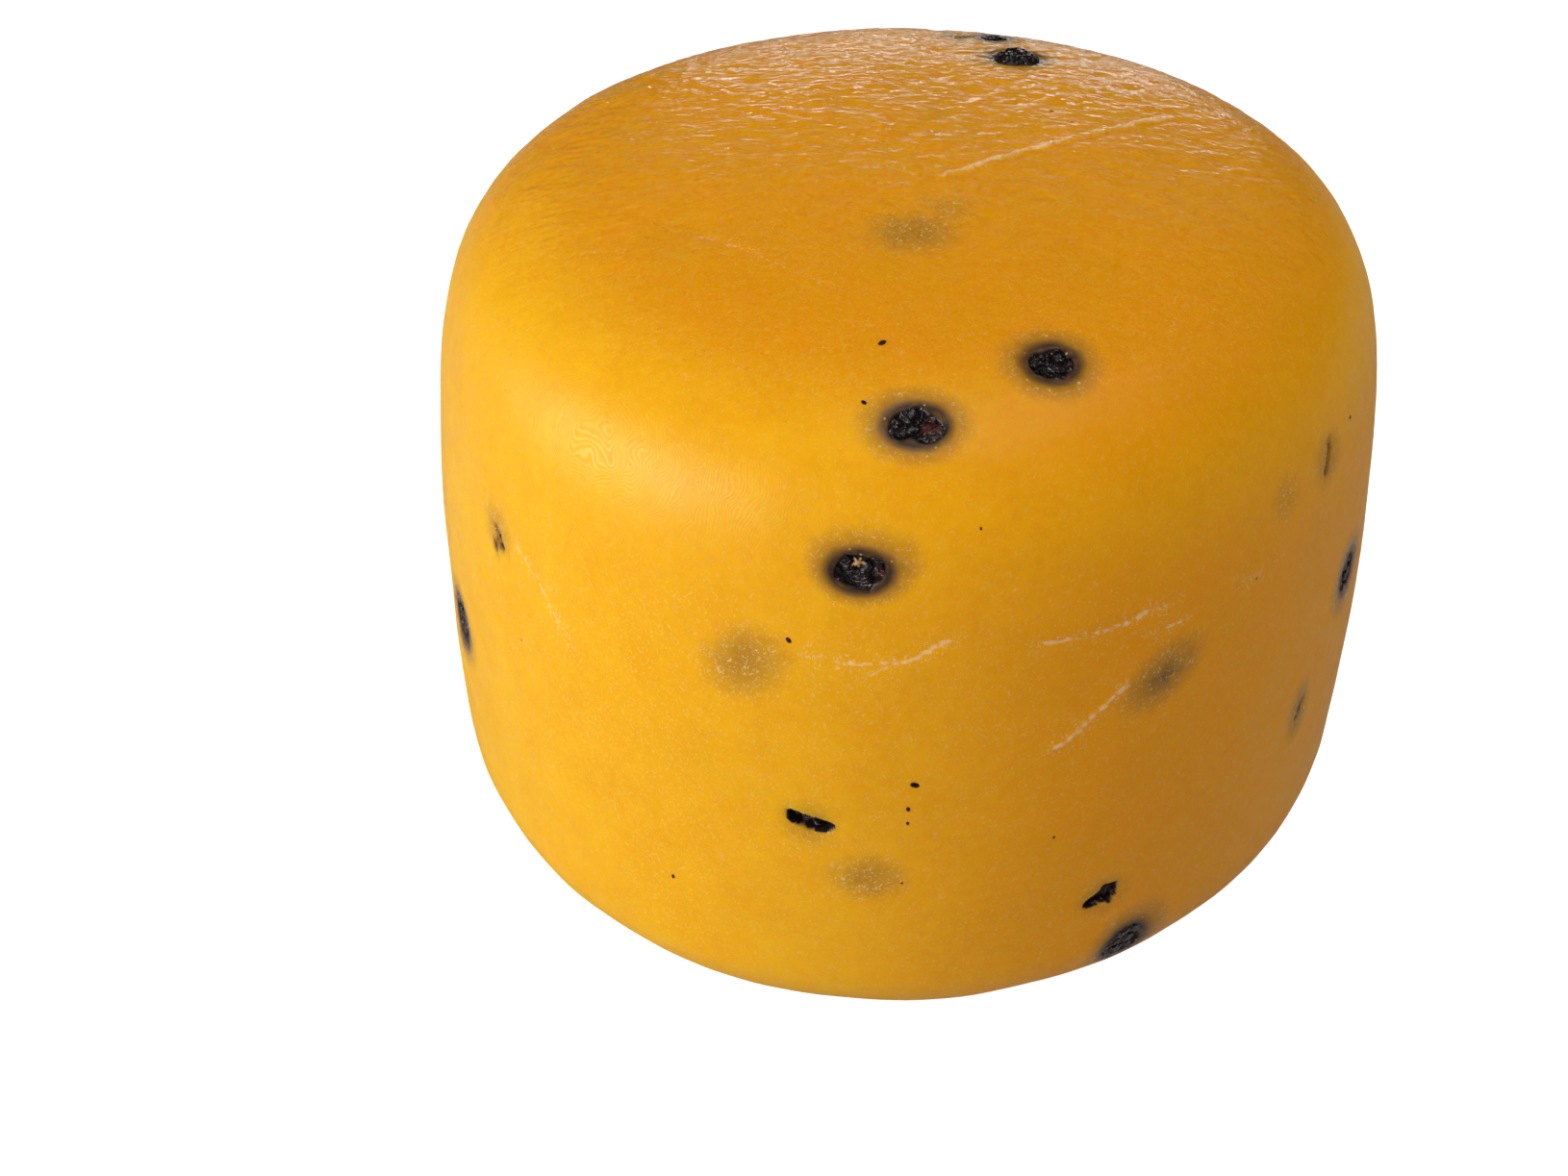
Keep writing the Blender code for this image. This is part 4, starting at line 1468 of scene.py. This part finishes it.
@dataclass
class PepperDust:
    """Small broken bits of pepper, pressed into the skin."""

    skin: Skin
    relief: SkinRelief
    seed: int = 11
    unseen_bits: int = 46
    placed: tuple[tuple[float, float, float], ...] = (
        # azimuth, reach and size in mm
        (-96.0, 27.3, 0.52),
        (-97.5, 33.5, 0.38),
        (-103.5, 53.3, 0.42),
        (-90.2, 66.4, 0.55),
        (-90.8, 68.9, 0.36),
        (-90.8, 70.4, 0.30),
        (-117.0, 80.9, 0.36),
        (-91.2, 77.0, 0.24),
        (-74.8, 73.7, 0.26),
        (-49.2, 55.2, 0.24),
        (-27.2, 48.4, 0.32),
        (35.5, 16.0, 0.30),
        (25.2, 16.2, 0.28),
        (-139.7, 64.6, 0.22),
        (-84.0, 43.5, 0.22),
        (-144.95, 55.5, 0.46),
        (-144.45, 56.2, 0.40),
        (-143.9, 56.9, 0.46),
        (-144.9, 57.3, 0.44),
    )

    def build(self, finish: bpy.types.Material) -> bpy.types.Object:
        """Scatter the bits over the skin.

        Args:
            finish: Their finish.

        Returns:
            The piece.
        """
        spots = list(self.placed) + self._unseen()
        points = np.array([self.skin.spot(a, r) for a, r, _ in spots])
        outs = np.array([self.skin.frame(a, r)[1][2] for a, r, _ in spots])
        lift, _ = self.relief.heights(points)
        points = points + outs * ((lift - 0.03) * MM)[:, None]
        seeds = bpy.data.meshes.new("dust_spots")
        seeds.from_pydata(points.tolist(), [], [])
        set_numbers(seeds, "size", np.array([size for _, _, size in spots]) * MM)
        layer = seeds.attributes.new("out", "FLOAT_VECTOR", "POINT")
        layer.data.foreach_set("vector", outs.astype(np.float32).reshape(-1))
        seedling = bpy.data.objects.new("dust_spots", seeds)
        bpy.context.scene.collection.objects.link(seedling)
        values = {"Flatness": 0.42, "Length": 1.5, "Seed": self.seed, "Finish": finish}
        mesh = run_tree(seedling, self._scatter_tree(), values, "pepper_dust")
        return add_piece("pepper_dust", mesh, finish, "black_pepper")

    def _unseen(self) -> list[tuple[float, float, float]]:
        """Bits on the back, the sides and the base.

        Returns:
            Azimuth, reach and size of each.
        """
        draw = np.random.default_rng(self.seed)
        return [
            (float(a), float(r), float(s))
            for a, r, s in zip(
                draw.uniform(-15, 192, self.unseen_bits),
                draw.uniform(48, 118, self.unseen_bits),
                draw.uniform(0.18, 0.36, self.unseen_bits),
            )
        ]

    @staticmethod
    def _scatter_tree() -> bpy.types.NodeTree:
        """The tree that puts one flake on each spot.

        Returns:
            The tree.
        """
        inputs = {"Flatness": "NodeSocketFloat", "Length": "NodeSocketFloat", "Seed": "NodeSocketInt", "Finish": "NodeSocketMaterial"}
        tree, w, start = new_geometry_tree("scattered_dust", inputs)
        size = start.outputs
        flake = w.add("GeometryNodeMeshIcoSphere", {"Radius": 0.5, "Subdivisions": 2}).outputs[0]
        shape = w.add("ShaderNodeCombineXYZ", {0: size["Length"], 1: 1.0, 2: size["Flatness"]}).outputs[0]
        flake = w.add("GeometryNodeTransform", {"Geometry": flake, "Scale": shape}).outputs[0]
        out = w.add("GeometryNodeInputNamedAttribute", {"Name": "out"}, data_type="FLOAT_VECTOR").outputs[0]
        facing = w.add("FunctionNodeAlignRotationToVector", {"Vector": out}, axis="Z").outputs[0]
        spin = w.add("FunctionNodeRandomValue", {"Seed": size["Seed"]}, data_type="FLOAT")
        for socket in spin.inputs:
            if socket.enabled and socket.name == "Max":
                socket.default_value = 2 * math.pi
        spun = next(socket for socket in spin.outputs if socket.enabled)
        turn = w.add("FunctionNodeEulerToRotation", {0: w.add("ShaderNodeCombineXYZ", {2: spun}).outputs[0]}).outputs[0]
        rotation = w.add("FunctionNodeRotateRotation", {"Rotation": facing, "Rotate By": turn}, rotation_space="LOCAL").outputs[0]
        scale = w.add("GeometryNodeInputNamedAttribute", {"Name": "size"}, data_type="FLOAT").outputs[0]
        points = w.add("GeometryNodeMeshToPoints", {"Mesh": size["Geometry"]}).outputs[0]
        placed = w.add("GeometryNodeInstanceOnPoints", {"Points": points, "Instance": flake, "Rotation": rotation, "Scale": scale}).outputs[0]
        end_tree(w, placed, size["Finish"])
        return tree


# ---------------------------------------------------------------- the studio


@dataclass(frozen=True)
class Softbox:
    """One soft light: where it stands around the wheel, its size and its power."""

    name: str
    azimuth: float
    elevation: float
    distance: float
    wide: float
    high: float
    power: float
    mirrored: bool = True  # whether wet surfaces mirror it
    tint: Tint = (1.0, 1.0, 1.0)


@dataclass(frozen=True)
class Studio:
    """A pale floor, soft light and the camera."""

    target: Tint = (-10.53 * MM, 0.0, 21.44 * MM)
    distance: float = 258 * MM
    elevation: float = 36.0
    lens: float = 62.21
    sensor: float = 36.0
    floor_half: float = 3.0
    floor_gap: float = 0.05 * MM
    floor_tint: Tint = (0.55, 0.54, 0.53)
    sky: float = 0.02
    lights: tuple[Softbox, ...] = (
        Softbox("key_left", -152.0, 21.0, 0.70, 0.46, 0.26, 2.7),
        Softbox("low_left", -165.0, 12.0, 0.70, 0.90, 0.30, 1.72),
        Softbox("front_left", -114.0, 18.0, 0.70, 0.40, 0.30, 0.98, mirrored=False),
        Softbox("overhead", -24.0, 74.0, 0.75, 0.50, 0.40, 1.52),
        Softbox("back_strip", 84.0, 6.0, 0.70, 0.34, 0.06, 0.34),
        Softbox("right", -5.0, 46.0, 0.70, 0.50, 0.30, 1.55, mirrored=False),
    )

    def build(self) -> None:
        """Put the floor, the lights, the sky and the camera into the scene."""
        self._floor()
        self._sky()
        for light in self.lights:
            self._light(light)
        self._camera()
        bpy.context.scene.view_settings.view_transform = "Standard"

    def _floor(self) -> None:
        """A wide white floor just under the wheel."""
        mesh = bpy.data.meshes.new("floor")
        side, low = self.floor_half, -self.floor_gap
        mesh.from_pydata([(-side, -side, low), (side, -side, low), (side, side, low), (-side, side, low)], [], [(0, 1, 2, 3)])
        floor = bpy.data.objects.new("floor", mesh)
        bpy.context.scene.collection.objects.link(floor)
        material, w, shader = new_material("pale_floor")
        w.feed(shader.inputs["Base Color"], self.floor_tint)
        shader.inputs["Roughness"].default_value = 0.9
        shader.inputs["Emission Color"].default_value = (1.0, 1.0, 1.0, 1.0)
        seen = w.add("ShaderNodeLightPath").outputs["Is Camera Ray"]
        w.feed(shader.inputs["Emission Strength"], w.math("MULTIPLY", seen, 0.92))
        under = w.add("ShaderNodeNewGeometry").outputs["Backfacing"]
        clear = w.add("ShaderNodeBsdfTransparent").outputs[0]
        shown = w.add("ShaderNodeMixShader", {0: under, 1: shader.outputs[0], 2: clear}).outputs[0]
        w.feed(material.node_tree.nodes["Material Output"].inputs["Surface"], shown)
        mesh.materials.append(material)

    def _sky(self) -> None:
        """A dim even surround that the camera sees as white."""
        world = bpy.data.worlds.new("studio")
        world.use_nodes = True
        w = Wiring(world.node_tree)
        dim = world.node_tree.nodes["Background"]
        dim.inputs["Color"].default_value = (1.0, 1.0, 1.0, 1.0)
        dim.inputs["Strength"].default_value = self.sky
        white = w.add("ShaderNodeBackground", {"Color": (1.0, 1.0, 1.0), "Strength": 1.0}).outputs[0]
        seen = w.add("ShaderNodeLightPath").outputs["Is Camera Ray"]
        shown = w.add("ShaderNodeMixShader", {0: seen, 1: dim.outputs[0], 2: white}).outputs[0]
        w.feed(world.node_tree.nodes["World Output"].inputs["Surface"], shown)
        bpy.context.scene.world = world

    def _light(self, box: Softbox) -> None:
        """One softbox, aimed at the wheel."""
        light = bpy.data.lights.new(box.name, "AREA")
        light.shape = "RECTANGLE"
        light.size, light.size_y = box.wide, box.high
        light.energy, light.color = box.power, box.tint
        lamp = bpy.data.objects.new(box.name, light)
        bpy.context.scene.collection.objects.link(lamp)
        lamp.visible_glossy = box.mirrored
        a, e = math.radians(box.azimuth), math.radians(box.elevation)
        towards = Vector((math.cos(e) * math.cos(a), math.cos(e) * math.sin(a), math.sin(e)))
        aim = Vector((0.0, 0.0, 0.035))
        lamp.location = aim + towards * box.distance
        lamp.rotation_euler = towards.to_track_quat("Z", "Y").to_euler()

    def _camera(self) -> None:
        """The camera, in front of the wheel and above it."""
        data = bpy.data.cameras.new("camera")
        data.lens, data.sensor_width = self.lens, self.sensor
        data.clip_start, data.clip_end = 0.01, 20.0
        camera = bpy.data.objects.new("camera", data)
        bpy.context.scene.collection.objects.link(camera)
        e = math.radians(self.elevation)
        back = Vector((0.0, -math.cos(e), math.sin(e)))
        camera.location = Vector(self.target) + back * self.distance
        camera.rotation_euler = back.to_track_quat("Z", "Y").to_euler()
        bpy.context.scene.camera = camera


def main() -> None:
    """Build the wheel, its peppercorns and its dust, then the studio around them."""
    logging.basicConfig(level=logging.INFO, format="%(message)s")
    effects = Effects()
    skin = Skin(Section())
    relief = SkinRelief(skin)
    WheelBody(skin, relief).build(PasteFinish().build(effects))
    Peppercorns(skin, relief).build(PepperFinish().build(effects))
    PepperDust(skin, relief).build(DustFinish().build(effects))
    Studio().build()


if __name__ == "__main__":
    main()
